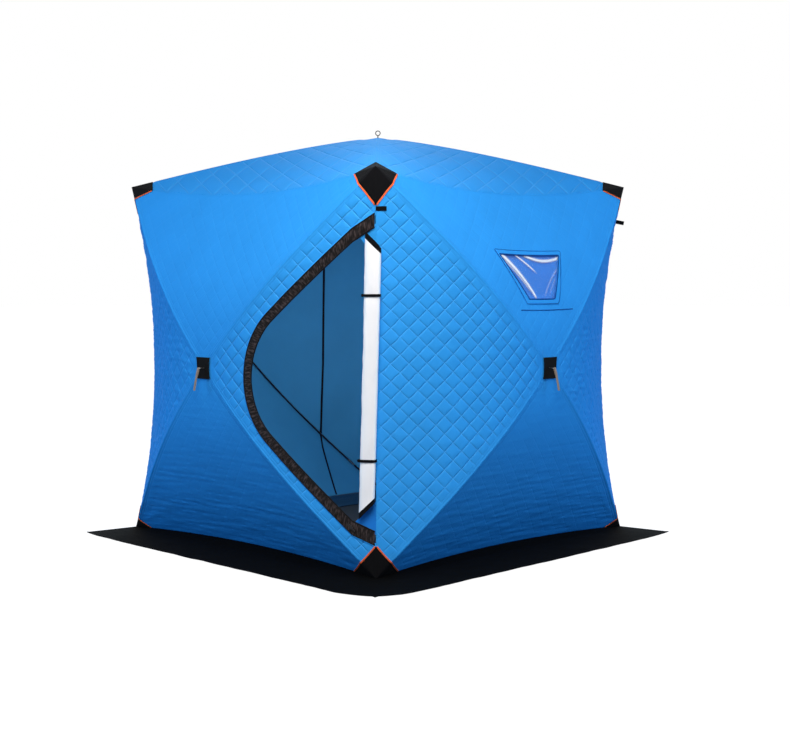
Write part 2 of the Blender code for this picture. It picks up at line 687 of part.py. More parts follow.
# Door
def door_outline(panel, inset):
    """The zip's line in u and v, from its upper end to its lower one, moved in from the opening's edge."""
    wide, tall, slant = panel.half_across, panel.half_up, panel.diagonal
    below_upper = Vector((tall, -wide)) / slant
    above_lower = Vector((tall, wide)) / slant
    top_offset = DOOR_TOP_OFFSET + inset
    low_offset = DOOR_LOW_OFFSET + inset
    bend = DOOR_BEND - inset
    middle_s = (top_offset + low_offset + 2 * bend) * slant / (2 * tall)
    middle_h = (low_offset - top_offset) * slant / (2 * wide)
    centre = Vector((middle_s, middle_h))
    start = math.atan2(-below_upper.y, -below_upper.x)
    sweep = (math.atan2(-above_lower.y, -above_lower.x) - start) % math.tau
    bend_turns = [start + sweep * k / DOOR_BEND_CELLS for k in range(DOOR_BEND_CELLS + 1)]
    bend_points = [centre + Vector((math.cos(t), math.sin(t))) * bend for t in bend_turns]
    seam_end = wide - DOOR_END
    upper = Vector((seam_end, (below_upper.x * seam_end - top_offset) / -below_upper.y))
    lower = Vector((seam_end, (low_offset - above_lower.x * seam_end) / above_lower.y))
    spread = inset * slant / wide
    first = Vector((wide, DOOR_TOP - panel.centre.z - spread))
    last = Vector((wide, DOOR_BOTTOM - panel.centre.z + spread))
    shares = [k / DOOR_RUN_CELLS for k in range(DOOR_RUN_CELLS)]
    points = [first] + [upper.lerp(bend_points[0], share) for share in shares] + bend_points
    points += [bend_points[-1].lerp(lower, share) for share in shares[1:]] + [lower, last]
    return [(point.x / wide, point.y / tall) for point in points]


def cut_through(panel, name, outline):
    """A block that cuts a panel along its normal, inside an outline of points."""
    bm = bmesh.new()
    flat = [point - panel.normal * point.dot(panel.normal) for point in outline]
    near = [bm.verts.new(point) for point in flat]
    bm.faces.new(near)
    grown = bmesh.ops.extrude_face_region(bm, geom=bm.faces[:])
    verts = [v for v in grown["geom"] if isinstance(v, bmesh.types.BMVert)]
    bmesh.ops.translate(bm, vec=panel.normal * REACH, verts=verts)
    return tool(name, bm)


def door_opening(piece):
    """Cuts the doorway in the front wall, out through its upright seam."""
    panel = WALLS["front"]
    outline = [panel.point(u, v) for u, v in door_outline(panel, -GAP)]
    beyond = panel.across * HALF
    outline = [outline[0] + beyond] + outline + [outline[-1] + beyond]
    combine(piece, "DIFFERENCE", cut_through(panel, "doorway", outline))


def band_points(panel, shortening):
    """The zip band's two edges on the outer cloth, with its ends drawn back from the upright seam."""
    rows = []
    for inset in (0, BAND_WIDTH):
        outline = [Vector(point) for point in door_outline(panel, inset)]
        outline[0] = outline[0].lerp(outline[1], shortening / DOOR_END)
        outline[-1] = outline[-1].lerp(outline[-2], shortening / DOOR_END)
        rows.append([panel.point(*point) for point in outline])
    return list(zip(*rows))


def door_zip_band(nylon):
    """The zip and its storm strip along the edge of the doorway, mitred at the upright seam."""
    panel = WALLS["front"]
    front = band_points(panel, 2 * FLAP_SEAT)
    under = band_points(panel, 2 * FLAP_SEAT + FABRIC)
    back = [[point - panel.normal * FABRIC for point in row] for row in under]
    bm = bmesh.new()
    add_sheet(bm, front, back)
    return finish("door_zip_band", bm, nylon)


def slider_axes():
    """The zip slider's place at the foot of the zip's lower run, with its first axis up along the zip."""
    panel = WALLS["front"]
    outline = [Vector(point) for point in door_outline(panel, BAND_WIDTH / 2)]
    foot = outline[-2]
    step = (outline[-3] - foot).normalized() * SLIDER_PROBE
    start = foot + step
    here = panel.point(*start)
    along = (panel.point(*(start + step)) - here).normalized()
    beside = panel.point(*(start + step.orthogonal())) - here
    outward = along.cross(beside).normalized()
    if outward.dot(panel.normal) < 0:
        outward.negate()
    return axes_matrix(here + outward * 2 * GAP, along, outward.cross(along), outward)


def zip_slider(metal):
    """The slider on the zip, with its pull tab."""
    place = slider_axes()
    half = SLIDER_WIDTH / 2
    bm = bmesh.new()
    add_box(bm, place, (-SLIDER_LENGTH / 2, -half, 0), (SLIDER_LENGTH / 2, half, SLIDER_HEIGHT))
    piece = finish("zip_slider", bm, metal, place.translation.copy())
    bm = bmesh.new()
    high = SLIDER_HEIGHT + SLIDER_TAB_THICKNESS / 2
    low = high - SLIDER_TAB_THICKNESS
    add_box(bm, place, (-SLIDER_TAB_LENGTH, -half / 2, low), (0, half / 2, high))
    combine(piece, "UNION", tool("slider_tab", bm))
    return piece


# Rolled door flap
def flap_point(height, inward, out):
    """A point beside the door's upright seam: along the wall from the seam, and out from it."""
    panel = WALLS["front"]
    v = panel.level(height)
    seam = panel.point(FRONT_EDGE, v)
    along = panel.point(FRONT_EDGE * (1 - FLAP_WIDTH / HALF), v) - seam
    along.z = 0
    along.normalize()
    return seam + along * inward + Z.cross(along) * out


def flap_ring(height, slant, grow):
    """Points round the rolled flap at a height, slanted across its width."""
    share = (height - FLAP_BOTTOM) / (FLAP_TOP - FLAP_BOTTOM)
    middle = FLAP_BOTTOM_ASIDE + (FLAP_TOP_ASIDE - FLAP_BOTTOM_ASIDE) * share
    points = []
    for k in range(FLAP_SIDES):
        turn = math.tau * k / FLAP_SIDES
        aside = -(FLAP_WIDTH / 2 + grow) * math.cos(turn)
        out = FLAP_SEAT + FLAP_THICKNESS / 2 + (FLAP_THICKNESS / 2 + grow) * math.sin(turn)
        points.append(flap_point(height + slant * aside / FLAP_WIDTH, middle + aside, out))
    return points


def door_flap(lining):
    """The door's cloth, rolled up along its upright seam, with slanted ends."""
    bm = bmesh.new()
    rings = []
    for k in range(FLAP_ROWS + 1):
        share = k / FLAP_ROWS
        height = FLAP_BOTTOM + (FLAP_TOP - FLAP_BOTTOM) * share
        slant = FLAP_TOP_SLANT * share - FLAP_BOTTOM_SLANT * (1 - share)
        rings.append([bm.verts.new(point) for point in flap_ring(height, slant, 0)])
    for ring, following in zip(rings, rings[1:]):
        for k in range(FLAP_SIDES):
            m = (k + 1) % FLAP_SIDES
            add_quad(bm, (ring[k], ring[m], following[m], following[k]), True)
    bm.faces.new(rings[0])
    bm.faces.new(rings[-1])
    return finish("door_flap", bm, lining)


def door_tie(name, height, elastic):
    """A strap round the rolled flap, open at the seam that it is sewn to."""
    levels = (height - TIE_WIDTH / 2, height + TIE_WIDTH / 2)
    behind = 3 * FLAP_SIDES // 4
    grids = []
    for grow in (TIE_CLEARANCE + TIE_THICKNESS, TIE_CLEARANCE):
        rings = [flap_ring(level, 0, grow) for level in levels]
        grids.append([ring[behind + 1 :] + ring[:behind] for ring in rings])
    bm = bmesh.new()
    add_sheet(bm, *grids)
    return finish(f"door_tie_{name}", bm, elastic)


# Window
def window_grid(inset):
    """Rows of u and v across the window, moved in from its edge."""
    panel = WALLS["right"]
    rows = []
    for k in range(WINDOW_CELLS + 1):
        share = k / WINDOW_CELLS
        height = WINDOW_BOTTOM + inset + (WINDOW_TOP - WINDOW_BOTTOM - 2 * inset) * share
        half = (WINDOW_BOTTOM_WIDTH + (WINDOW_TOP_WIDTH - WINDOW_BOTTOM_WIDTH) * share) / 2 - inset
        steps = edge_steps(WINDOW_CELLS)
        level = panel.level(height)
        rows.append([((step * half - WINDOW_ASIDE) / panel.half_across, level) for step in steps])
    return rows


def window_opening(piece):
    """Cuts the window in the right wall."""
    panel = WALLS["right"]
    rows = window_grid(0)
    border = rows[0] + [row[-1] for row in rows[1:]] + rows[-1][-2::-1] + [row[0] for row in rows[-2:0:-1]]
    combine(piece, "DIFFERENCE", cut_through(panel, "window_hole", [panel.point(u, v) for u, v in border]))


def window_film(vinyl):
    """Clear film in the window, level with the outer cloth."""
    panel = WALLS["right"]
    front = [[panel.point(u, v) for u, v in row] for row in window_grid(2 * GAP)]
    back = [[point - panel.normal * FILM for point in row] for row in front]
    bm = bmesh.new()
    add_sheet(bm, front, back)
    return finish("window_film", bm, vinyl)


# Guy tabs
def guy_tab(name, corner, lean, webbing):
    """A folded webbing tab sewn into an upright seam, which leans from straight out towards a wall."""
    walls = panels_at(corner)
    panel, u = walls[0]
    v = panel.level(TAB_HEIGHT)
    seam = panel.point(u, v)
    step = TAB_WIDTH / panel.half_up
    along = (panel.point(u, v + step) - panel.point(u, v - step)).normalized()
    straight = (corner - along * corner.dot(along)).normalized()
    outward = Matrix.Rotation(lean, 3, along) @ straight
    clear = min(outward.angle(beside.point(side * (1 - step), v) - seam) for beside, side in walls)
    start = max(TAB_THICKNESS / 2 / math.tan(clear), 0) + 2 * GAP / math.sin(clear)
    axes = axes_matrix(seam, outward, along.cross(outward), along)
    low = (start, -TAB_THICKNESS / 2, -TAB_WIDTH / 2)
    high = (start + TAB_LENGTH, TAB_THICKNESS / 2, TAB_WIDTH / 2)
    bm = bmesh.new()
    add_box(bm, axes, low, high)
    return finish(f"guy_tab_{name}", bm, webbing)


def main():
    """Clears the scene and makes every piece."""
    for old in list(bpy.data.objects):
        bpy.data.objects.remove(old)
    cloth = material("quilted_blue_polyester", (0.03, 0.26, 0.82), 0.6)
    webbing = material("black_webbing", (0.012, 0.012, 0.013), 0.8)
    skirt_cloth = material("black_oxford_cloth", (0.008, 0.008, 0.009), 0.75)
    skirt_back = material("coated_cloth_back", (0.008, 0.025, 0.04), 0.6)
    plastic = material("black_moulded_nylon", (0.02, 0.02, 0.022), 0.5)
    fibreglass = material("black_fibreglass", (0.015, 0.015, 0.017), 0.35)
    tape = material("grey_brown_tape", (0.16, 0.13, 0.11), 0.8)
    steel = material("dark_steel", (0.25, 0.25, 0.26), 0.35, 0.9)
    nylon = material("dark_grey_nylon", (0.035, 0.032, 0.032), 0.55)
    lining = material("white_lining", (0.85, 0.86, 0.9), 0.7)
    vinyl = material("clear_vinyl", (0.55, 0.75, 0.95), 0.1, 0.0, 0.4)

    cutters = bmesh.new()
    for name, corner in CORNERS.items():
        for top in (1, -1):
            add_half_space(cutters, corner_plane(corner, top, *corner_sizes(name, top)), 0)
            corner_piece(name, corner, top, webbing)
    corner_cut = tool("corner_cut", cutters)

    for panel in PANELS.values():
        piece = panel_piece(panel, cloth)
        combine(piece, "DIFFERENCE", corner_cut)
        if panel.name == "front":
            door_opening(piece)
        if panel.name == "right":
            window_opening(piece)
        hub(panel, plastic)
        for right, top in pole_signs():
            pole(panel, right, top, fibreglass)
    for panel in WALLS.values():
        hub_patch(panel, webbing)
        pull_strap(panel, tape)

    skirt("skirt", ("front", "right"), False, skirt_cloth)
    skirt("skirt_turned_in", ("back", "left"), True, skirt_back)
    roof_eye(steel)
    door_zip_band(nylon)
    zip_slider(steel)
    door_flap(lining)
    for name, height in TIE_HEIGHTS.items():
        door_tie(name, height, webbing)
    window_film(vinyl)
    for name, corner in CORNERS.items():
        guy_tab(name, corner, math.radians(TAB_LEANS[name]), webbing)


if __name__ == "__main__":
    main()
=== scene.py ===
"""Looks of a quilted pop-up ice shelter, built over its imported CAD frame.

Metres, +Z up, the door wall towards -Y and the window wall towards +X. Every wall and the roof is a square of
quilted cloth over a hub and four poles. Each is made of four gores that meet over the poles.
"""

import math

import bmesh
import bpy
from bpy.props import FloatProperty, PointerProperty, StringProperty
from mathutils import Matrix, Vector, noise


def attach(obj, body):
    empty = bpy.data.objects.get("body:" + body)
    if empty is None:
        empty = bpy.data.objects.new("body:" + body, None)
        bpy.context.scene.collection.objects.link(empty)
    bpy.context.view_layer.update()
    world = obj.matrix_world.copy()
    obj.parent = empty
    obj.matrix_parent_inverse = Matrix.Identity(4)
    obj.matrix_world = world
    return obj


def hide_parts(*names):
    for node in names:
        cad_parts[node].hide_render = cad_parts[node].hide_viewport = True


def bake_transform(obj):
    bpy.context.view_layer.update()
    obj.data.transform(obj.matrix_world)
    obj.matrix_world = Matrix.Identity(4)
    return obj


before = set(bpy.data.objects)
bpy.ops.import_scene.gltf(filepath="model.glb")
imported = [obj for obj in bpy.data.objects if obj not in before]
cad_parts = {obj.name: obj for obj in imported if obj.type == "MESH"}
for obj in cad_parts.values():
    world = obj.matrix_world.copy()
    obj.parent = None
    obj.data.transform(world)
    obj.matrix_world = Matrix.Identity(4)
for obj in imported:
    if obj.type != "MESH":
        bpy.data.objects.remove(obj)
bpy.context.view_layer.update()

bl_info = {
    "name": "Ice shelter",
    "version": (1, 0, 0),
    "blender": (4, 5, 0),
    "location": "View3D > Sidebar > Shelter",
    "description": "Quilted cloth, corners, door, window, frame and stage of a pop-up ice shelter",
    "category": "Add Mesh",
}

# Overall form, as in the CAD
SIDE = 1.80
EAVE_HEIGHT = 1.775
WALL_BULGE = 0.235
ROOF_RISE = 0.25
WALL_BOW = 1.0
ROOF_BOW = 0.3
SEAM_SAG = 0.075
EAVE_SAG = 0.07
HEM_SAG = 0.055
HEM_LIFT = 0.02
APEX_RADIUS = 0.07
FABRIC = 0.004
SKIRT_THICKNESS = 0.002
SKIRT_RAMP = 0.09
SKIRT_LAP = 0.004
HALF = SIDE / 2
HEM_GAP = 0.0003
HEM_HEIGHT = SKIRT_THICKNESS + HEM_GAP

# Shares of the way out from a hub, to a point near a panel's edge and one near its hub
STILL_RING = 0.88
HUB_RING = 0.09

X, Y, Z = (Vector(axis) for axis in Matrix.Identity(3))
MIDDLE = (Y - X) * 0.02005  # middle of the four walls, from the middle of the whole footprint
FACING = {"front": -Y, "right": X, "back": Y, "left": -X}
CORNERS = {"front_right": X - Y, "front_left": -X - Y, "back_right": X + Y, "back_left": Y - X}
DOOR_CORNER = "front_right"
WAYS = {"right": Vector((1, 0)), "left": Vector((-1, 0)), "top": Vector((0, 1)), "bottom": Vector((0, -1))}


class FabricPanel:
    """A square of cloth over a hub, where a and b are flat distances from the hub across and up."""

    def __init__(self, name, centre, normal, up, tall, bulge, bow, sags):
        self.name = name
        self.centre = centre
        self.normal = normal
        self.up = up
        self.across = up.cross(normal)
        self.size = Vector((HALF, tall))
        self.bulge = bulge
        self.bow = bow
        self.sags = sags
        self.slant = self.size.length
        self.hub_body = f"{name}_hub"
        self.node = "roof" if name == "roof" else f"wall_{name}"

    def ridge(self, ring):
        """Height of the cloth over a pole, at a share of the way out from the hub."""
        rounding = APEX_RADIUS / HALF
        outward = (math.hypot(ring, rounding) - rounding) / (math.hypot(1, rounding) - rounding)
        straight = 1 - outward
        return self.bulge * ((1 - self.bow) * straight + self.bow * math.sin(math.pi / 2 * straight))

    def place(self, across, up, out=0.0):
        """A point from its distances along the panel's own axes."""
        return self.centre + self.across * across + self.up * up + self.normal * out

    def surface(self, a, b, raised=0.0):
        """A point on the outer cloth, or raised from it along the panel's normal."""
        u = a / self.size.x
        v = b / self.size.y
        ring = max(abs(u), abs(v))
        upright = abs(u) >= abs(v)
        along = 0 if ring == 0 else (v if upright else u) / ring
        edge = "side" if upright else ("top" if v > 0 else "bottom")
        inward, down = (share * ring**2 * (1 - along**2) for share in self.sags[edge])
        across = a - (math.copysign(inward, u) if upright else 0)
        up = b - (0 if upright else math.copysign(inward, v))
        return self.place(across, up, self.ridge(ring) - down + raised)

    def seam(self, flat):
        """How far a flat point on the panel's edge lies towards the mitre with its neighbours."""
        aside = Vector()
        if self.size.x - abs(flat.x) < 1e-5:
            aside += self.across * math.copysign(1, flat.x)
        if self.size.y - abs(flat.y) < 1e-5 and (flat.y > 0 or self.name == "roof"):
            aside += self.up * math.copysign(1, flat.y)
        return aside

    def level(self, height):
        """The flat distance up from the hub of a height above the ground."""
        return height - self.centre.z

    def corner(self, right, top):
        """A corner of the panel in flat distances."""
        return Vector((right * self.size.x, top * self.size.y))

    def pole_point_way(self, right, top):
        """Along a pole from the hub, in the plane of the panel."""
        flat = self.corner(right, top).normalized()
        return self.across * flat.x + self.up * flat.y

    def cord(self, flats, stand, radius, rings):
        """A sewn cord along flat points, raised from the cloth."""
        return tube([self.surface(*flat, stand) for flat in flats], radius, 8, rings, self.normal)

    def follow_hub(self, piece, way):
        """Bakes a piece in place, and finds a point near the panel's edge and one near its hub."""
        reach = Vector((way.x * self.size.x, way.y * self.size.y))
        still = self.place(*(reach * STILL_RING))
        moving = self.place(*(reach * HUB_RING))
        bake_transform(piece)
        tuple(still)
        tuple(moving)


def wall(name, normal):
    """A wall, whose lower edge is a free hem."""
    tall = (EAVE_HEIGHT - HEM_HEIGHT) / 2
    centre = MIDDLE + normal * HALF + Z * (HEM_HEIGHT + tall)
    sags = {"side": (SEAM_SAG, SEAM_SAG), "top": (EAVE_SAG, EAVE_SAG), "bottom": (HEM_LIFT, HEM_SAG)}
    return FabricPanel(name, centre, normal, Z, tall, WALL_BULGE, WALL_BOW, sags)


WALLS = {name: wall(name, normal) for name, normal in FACING.items()}
ROOF = FabricPanel(
    "roof",
    MIDDLE + Z * EAVE_HEIGHT,
    Z,
    Y,
    HALF,
    ROOF_RISE,
    ROOF_BOW,
    dict.fromkeys(("side", "top", "bottom"), (EAVE_SAG, EAVE_SAG)),
)
PANELS = {**WALLS, "roof": ROOF}


def smooth(low, high, value):
    """0 below low, 1 above high, and a smooth step between."""
    share = min(max((value - low) / (high - low), 0), 1)
    return share * share * (3 - 2 * share)


def waver(x, y, seed):
    """Smooth noise between about -1 and 1."""
    return noise.noise(Vector((x, y, seed)))


# Materials
# Sockets by number: 1 to 4 of a Map Range are its limits from and to, and 6 and 7 of a Mix are its colours
WAVE_LENGTH = 0.314  # of one band in a wave texture of scale 1
SLEEVE_MIDDLE = 0.017  # two rows of stitching beside a pole, from the pole to the middle between them
SLEEVE_HALF = 0.006
SLEEVE_STITCH = 0.0022  # wider than real thread, which is too fine to show
STITCH_HALF = 0.08  # half of a sunk row of stitching, to the pitch, and drawn wider for the same reason
STITCH_DEPTH = 0.003
PUCKERS = 220.0  # along the door's storm tape, and coarser than real ones
# Width and depth of threads, which are drawn at 2 to 3 mm because real ones of 0.3 mm are too fine to show
OXFORD = (0.0022, 0.0004)
TAFFETA = (0.002, 0.0003)
LINING = (0.0025, 0.0003)
HEAVY = (0.003, 0.0006)
WEBBING = (0.0024, 0.0008)
TAPE = (0.003, 0.0005)


def linear(code):
    """Linear red, green, blue and alpha of an sRGB hex colour."""
    parts = [int(code[k : k + 2], 16) / 255 for k in (1, 3, 5)]
    return [c / 12.92 if c <= 0.04045 else ((c + 0.055) / 1.055) ** 2.4 for c in parts] + [1]


def add_node(tree, kind, settings=None, links=None, output=0):
    """Adds a node with its properties, values and links, and gives one of its outputs, or all for None."""
    node = tree.nodes.new("ShaderNode" + kind)
    for key, value in (settings or {}).items():
        if isinstance(key, str) and hasattr(node, key):
            setattr(node, key, value)
        else:
            node.inputs[key].default_value = value
    for key, source in (links or {}).items():
        tree.links.new(source, node.inputs[key])
    return node.outputs if output is None else node.outputs[output]


def start_material(name, colour, roughness, **sockets):
    """A material with a Principled shader, whose even values are on its own sockets."""
    made = bpy.data.materials.new(name)
    made.use_nodes = True
    tree = made.node_tree
    shader = tree.nodes["Principled BSDF"].inputs
    shader["Base Color"].default_value = linear(colour)
    shader["Roughness"].default_value = roughness
    for key, value in sockets.items():
        shader[key.replace("_", " ").title().replace("Ior", "IOR")].default_value = value
    made.diffuse_color = linear(colour)
    return made, tree, shader


def lay_over(made, colour, share):
    """Mixes a colour over a material's own by a share."""
    tree = made.node_tree
    base = tree.nodes["Principled BSDF"].inputs["Base Color"]
    mix = {"data_type": "RGBA", 7: linear(colour)}
    tree.links.new(add_node(tree, "Mix", mix, {0: share, 6: base.links[0].from_socket}, 2), base)
    return made


def woven(name, colour, roughness, threads, blotch, **sockets):
    """Woven cloth: threads along all three axes, and a slow change of tone as from handling and dye."""
    made, tree, shader = start_material(name, colour, roughness, **sockets)
    thread, depth = threads
    spot = add_node(tree, "TexCoord", output="Object")
    waves = []
    for axis in "XYZ":
        bands = {"bands_direction": axis, "Scale": WAVE_LENGTH / thread}
        waves.append(add_node(tree, "TexWave", bands, {"Vector": spot}, "Fac"))
    total = waves[0]
    for wave in waves[1:]:
        total = add_node(tree, "Math", {"operation": "ADD"}, {0: total, 1: wave})
    tone = add_node(tree, "TexNoise", {"Scale": 5.0, "Detail": 4.0}, {"Vector": spot}, "Fac")
    value = add_node(tree, "MapRange", {1: 0.3, 2: 0.7, 3: 1 - blotch, 4: 1 + blotch}, {0: tone})
    tint = add_node(tree, "HueSaturation", {"Color": linear(colour)}, {"Value": value})
    bump = add_node(tree, "Bump", {"Strength": 0.25, "Distance": depth}, {"Height": total})
    tree.links.new(tint, shader["Base Color"])
    tree.links.new(bump, shader["Normal"])
    return made


def quilted(name, colour, stitch, roughness, threads, **sockets):
    """Quilted cloth, sunk along the lattice of its UV map where the quilting attribute asks for it, with a
    paler colour painted along its stitching as a highlight.
    """
    made = woven(name, colour, roughness, threads, 0.03, **sockets)
    tree = made.node_tree
    cells = add_node(tree, "UVMap", {"uv_map": "quilt"})
    parts = add_node(tree, "SeparateXYZ", None, {"Vector": cells}, None)
    gaps = [add_node(tree, "Math", {"operation": "PINGPONG", 1: 0.5}, {0: parts[k]}) for k in (0, 1)]
    near = add_node(tree, "Math", {"operation": "MINIMUM"}, dict(enumerate(gaps)))
    fade = {"interpolation_type": "SMOOTHSTEP", 1: 0.0, 2: STITCH_HALF, 3: 1.0, 4: 0.0}
    line = add_node(tree, "MapRange", fade, {0: near})
    share = add_node(tree, "Attribute", {"attribute_name": "quilting"}, None, "Fac")
    sunk = add_node(tree, "Math", {"operation": "MULTIPLY"}, {0: line, 1: share})
    near = add_node(tree, "Attribute", {"attribute_name": "sleeve"}, None, "Fac")
    for offset in (SLEEVE_MIDDLE, SLEEVE_HALF):
        off = add_node(tree, "Math", {"operation": "SUBTRACT", 1: offset}, {0: near})
        near = add_node(tree, "Math", {"operation": "ABSOLUTE"}, {0: off})
    rows = add_node(tree, "MapRange", {1: 0.0, 2: SLEEVE_STITCH, 3: 0.4, 4: 0.0}, {0: near})
    sunk = add_node(tree, "Math", {"operation": "MAXIMUM"}, {0: sunk, 1: rows})
    normal = tree.nodes["Principled BSDF"].inputs["Normal"]
    sink = {"Strength": 0.75, "Distance": STITCH_DEPTH, "invert": True}
    groove = add_node(tree, "Bump", sink, {"Height": sunk, "Normal": normal.links[0].from_socket})
    tree.links.new(groove, normal)
    # The stitching rows take the paler colour as a painted highlight
    return lay_over(made, stitch, sunk)


def bound(name, colour, groove, roughness, threads):
    """Folded tape with a dark groove along its middle, where it is sewn down."""
    made = woven(name, colour, roughness, threads, 0.12)
    tree = made.node_tree
    across = add_node(tree, "UVMap", {"uv_map": "weave"})
    side = add_node(tree, "SeparateXYZ", None, {"Vector": across})
    away = add_node(tree, "Math", {"operation": "PINGPONG", 1: 0.5}, {0: side})
    line = add_node(tree, "MapRange", {1: 0.40, 2: 0.47, 3: 0.0, 4: 0.8}, {0: away})
    return lay_over(made, groove, line)


def puckered(name, colour, ridge, roughness, threads, **sockets):
    """Gathered tape, with painted highlights along the ridges of its puckers, which run across it."""
    made = woven(name, colour, roughness, threads, 0.2, **sockets)
    tree = made.node_tree
    along = add_node(tree, "UVMap", {"uv_map": "weave"})
    drawn = add_node(tree, "Mapping", {"Scale": (2.0, PUCKERS, 1.0)}, {"Vector": along})
    painted_highlight = add_node(tree, "TexNoise", {"Scale": 1.0, "Detail": 2.0}, {"Vector": drawn}, "Fac")
    share = add_node(tree, "MapRange", {1: 0.45, 2: 0.75, 3: 0.0, 4: 1.0}, {0: painted_highlight})
    return lay_over(made, ridge, share)


def hard(name, colour, roughness, grain, depth, spread, **sockets):
    """A moulded, drawn or plated surface: fine grain in its bump and its roughness."""
    made, tree, shader = start_material(name, colour, roughness, **sockets)
    spot = add_node(tree, "TexCoord", output="Object")
    mottle = add_node(tree, "TexNoise", {"Scale": 1 / grain, "Detail": 3.0}, {"Vector": spot}, "Fac")
    limits = {1: 0.3, 2: 0.7, 3: roughness - spread, 4: roughness + spread}
    rough = add_node(tree, "MapRange", limits, {0: mottle})
    bump = add_node(tree, "Bump", {"Strength": 0.3, "Distance": depth}, {"Height": mottle})
    tree.links.new(rough, shader["Roughness"])
    tree.links.new(bump, shader["Normal"])
    return made


def clear_vinyl(name, colour):
    """Pressed clear sheet: glossy, faintly smeared, and with painted white glints along its creases, where
    they would catch the light.
    """
    made, tree, shader = start_material(name, colour, 0.08, specular_ior_level=0.2)
    spot = add_node(tree, "TexCoord", output="Object")
    smear = add_node(tree, "TexNoise", {"Scale": 30.0, "Detail": 4.0}, {"Vector": spot}, "Fac")
    rough = add_node(tree, "MapRange", {1: 0.35, 2: 0.7, 3: 0.05, 4: 0.16}, {0: smear})
    crease = add_node(tree, "Attribute", {"attribute_name": "crease"}, None, "Fac")
    painted_glint = add_node(tree, "MapRange", {1: 0.0, 2: 1.0, 3: 0.03, 4: 0.92}, {0: crease})
    tree.links.new(rough, shader["Roughness"])
    tree.links.new(painted_glint, shader["Alpha"])
    return made


def make_finishes(colours):
    """Every finish of the shelter, named for what it is."""
    cloth = colours.cloth
    levels = (0.04, 0.06, 0.08, 0.1, 0.15)
    dusty, flat_black, matt, dull, smooth_weave = ({"specular_ior_level": level} for level in levels)
    return {
        # Coated polyester with wadding sewn behind it: matt, sunk along its stitching, which has a painted
        # highlight
        "quilted": quilted("quilted_oxford_polyester", cloth, colours.stitch, 0.7, OXFORD, **matt),
        # The same cloth where it isn't quilted
        "plain": woven("plain_oxford_polyester", cloth, 0.65, OXFORD, 0.03, **matt),
        # The same cloth, painted darker as shade, for where it lies in its own shade: the window's cover and
        # the door's lower gusset
        "painted_shade_cloth": woven("shaded_oxford_polyester", colours.painted_shade_cloth, 0.65, OXFORD, 0.05, **matt),
        # Thin plain-weave lining: smooth and a little dull
        "lining": woven("polyester_lining", colours.lining, 0.7, LINING, 0.05, **smooth_weave),
        # Thread and folds of the same blue, painted dark navy as shade where they sink in and along the gap
        # round the window
        "seam": woven("blue_polyester_thread", colours.seam, 0.8, (0.002, 0.0004), 0.1, **dull),
        # White taffeta on the back of the door: bright, with a faint weave
        "white": woven("white_polyester_taffeta", colours.white, 0.6, TAFFETA, 0.02),
        # Heavy black cloth on the ground, dusty and matt
        "skirt": woven("black_oxford_polyester", colours.skirt, 0.85, HEAVY, 0.3, **dusty),
        # The coated back of that cloth, where it is turned in: smoother, with a soft sheen
        "skirt_back": woven("coated_polyester_back", colours.skirt_back, 0.6, TAPE, 0.15),
        # Ribbed webbing and the reinforced corners: dense, dull black
        "webbing": woven("black_polypropylene_webbing", colours.black, 0.8, WEBBING, 0.2, **flat_black),
        # The same webbing undyed, for the pull straps
        "strap": woven("brown_polypropylene_webbing", colours.strap, 0.75, WEBBING, 0.15),
        # Folded cotton tape with a sheen along its ridges
        "binding": bound("orange_cotton_tape", colours.binding, colours.black, 0.6, TAPE),
        # Gathered nylon tape over the zip: black, with painted grey highlights on its folds
        "tape": puckered("nylon_storm_tape", colours.tape, colours.tape_painted_highlight, 0.7, (0.0024, 0.0006), **dull),
        # The zip's spiral coil: black with a slight gloss
        "coil": hard("nylon_zip_coil", colours.black, 0.5, 0.004, 0.0005, 0.1, **dull),
        # Injection-moulded nylon with a fine spark-eroded grain
        "nylon": hard("moulded_glass_filled_nylon", colours.black, 0.5, 0.003, 0.0003, 0.1),
        # Pultruded rod: hard, slightly glossy resin over fibres
        "rod": hard("pultruded_fibreglass", colours.rod, 0.35, 0.006, 0.0002, 0.08),
        # Plated wire and ferrules: bright grey metal, a little worn
        "steel": hard("zinc_plated_steel", colours.steel, 0.35, 0.004, 0.0002, 0.1, metallic=1.0),
        # Cast slider and roof eye: dark grey metal
        "slider": hard("die_cast_zinc", colours.slider, 0.4, 0.003, 0.0002, 0.1, metallic=1.0),
        # The window: nearly unseen, with painted white glints on its creases
        "vinyl": clear_vinyl("clear_pvc_sheet", colours.vinyl),
    }


FINISHES = {}


# Shapes
MERGE = 1e-6
TAPE_CLOTH = 0.001


def add_sheet(bm, columns, rows, place):
    """Adds a grid whose points are place(x, y), with x and y from 0 to 1."""
    made = bmesh.ops.create_grid(bm, x_segments=columns, y_segments=rows, size=0.5, calc_uvs=True)
    for vert in made["verts"]:
        vert.co = place(vert.co.x + 0.5, vert.co.y + 0.5)


def mapped_sheet(columns, rows, place):
    """A sheet of one grid, joined where its points meet."""
    bm = bmesh.new()
    bm.loops.layers.uv.new("weave")
    add_sheet(bm, columns, rows, place)
    bmesh.ops.remove_doubles(bm, verts=bm.verts, dist=MERGE)
    return bm


def face_out(bm):
    """Turns every face of a closed shape outward."""
    bmesh.ops.recalc_face_normals(bm, faces=bm.faces)
    return bm


def thicken(bm, thickness):
    """Gives a sheet its thickness behind its face, and tells its area."""
    area = flat_area(bm)
    face_out(bm)
    bmesh.ops.solidify(bm, geom=bm.faces[:], thickness=thickness)
    return face_out(bm), area


def flat_area(bm):
    """The area of a sheet on one side."""
    return sum(face.calc_area() for face in bm.faces)


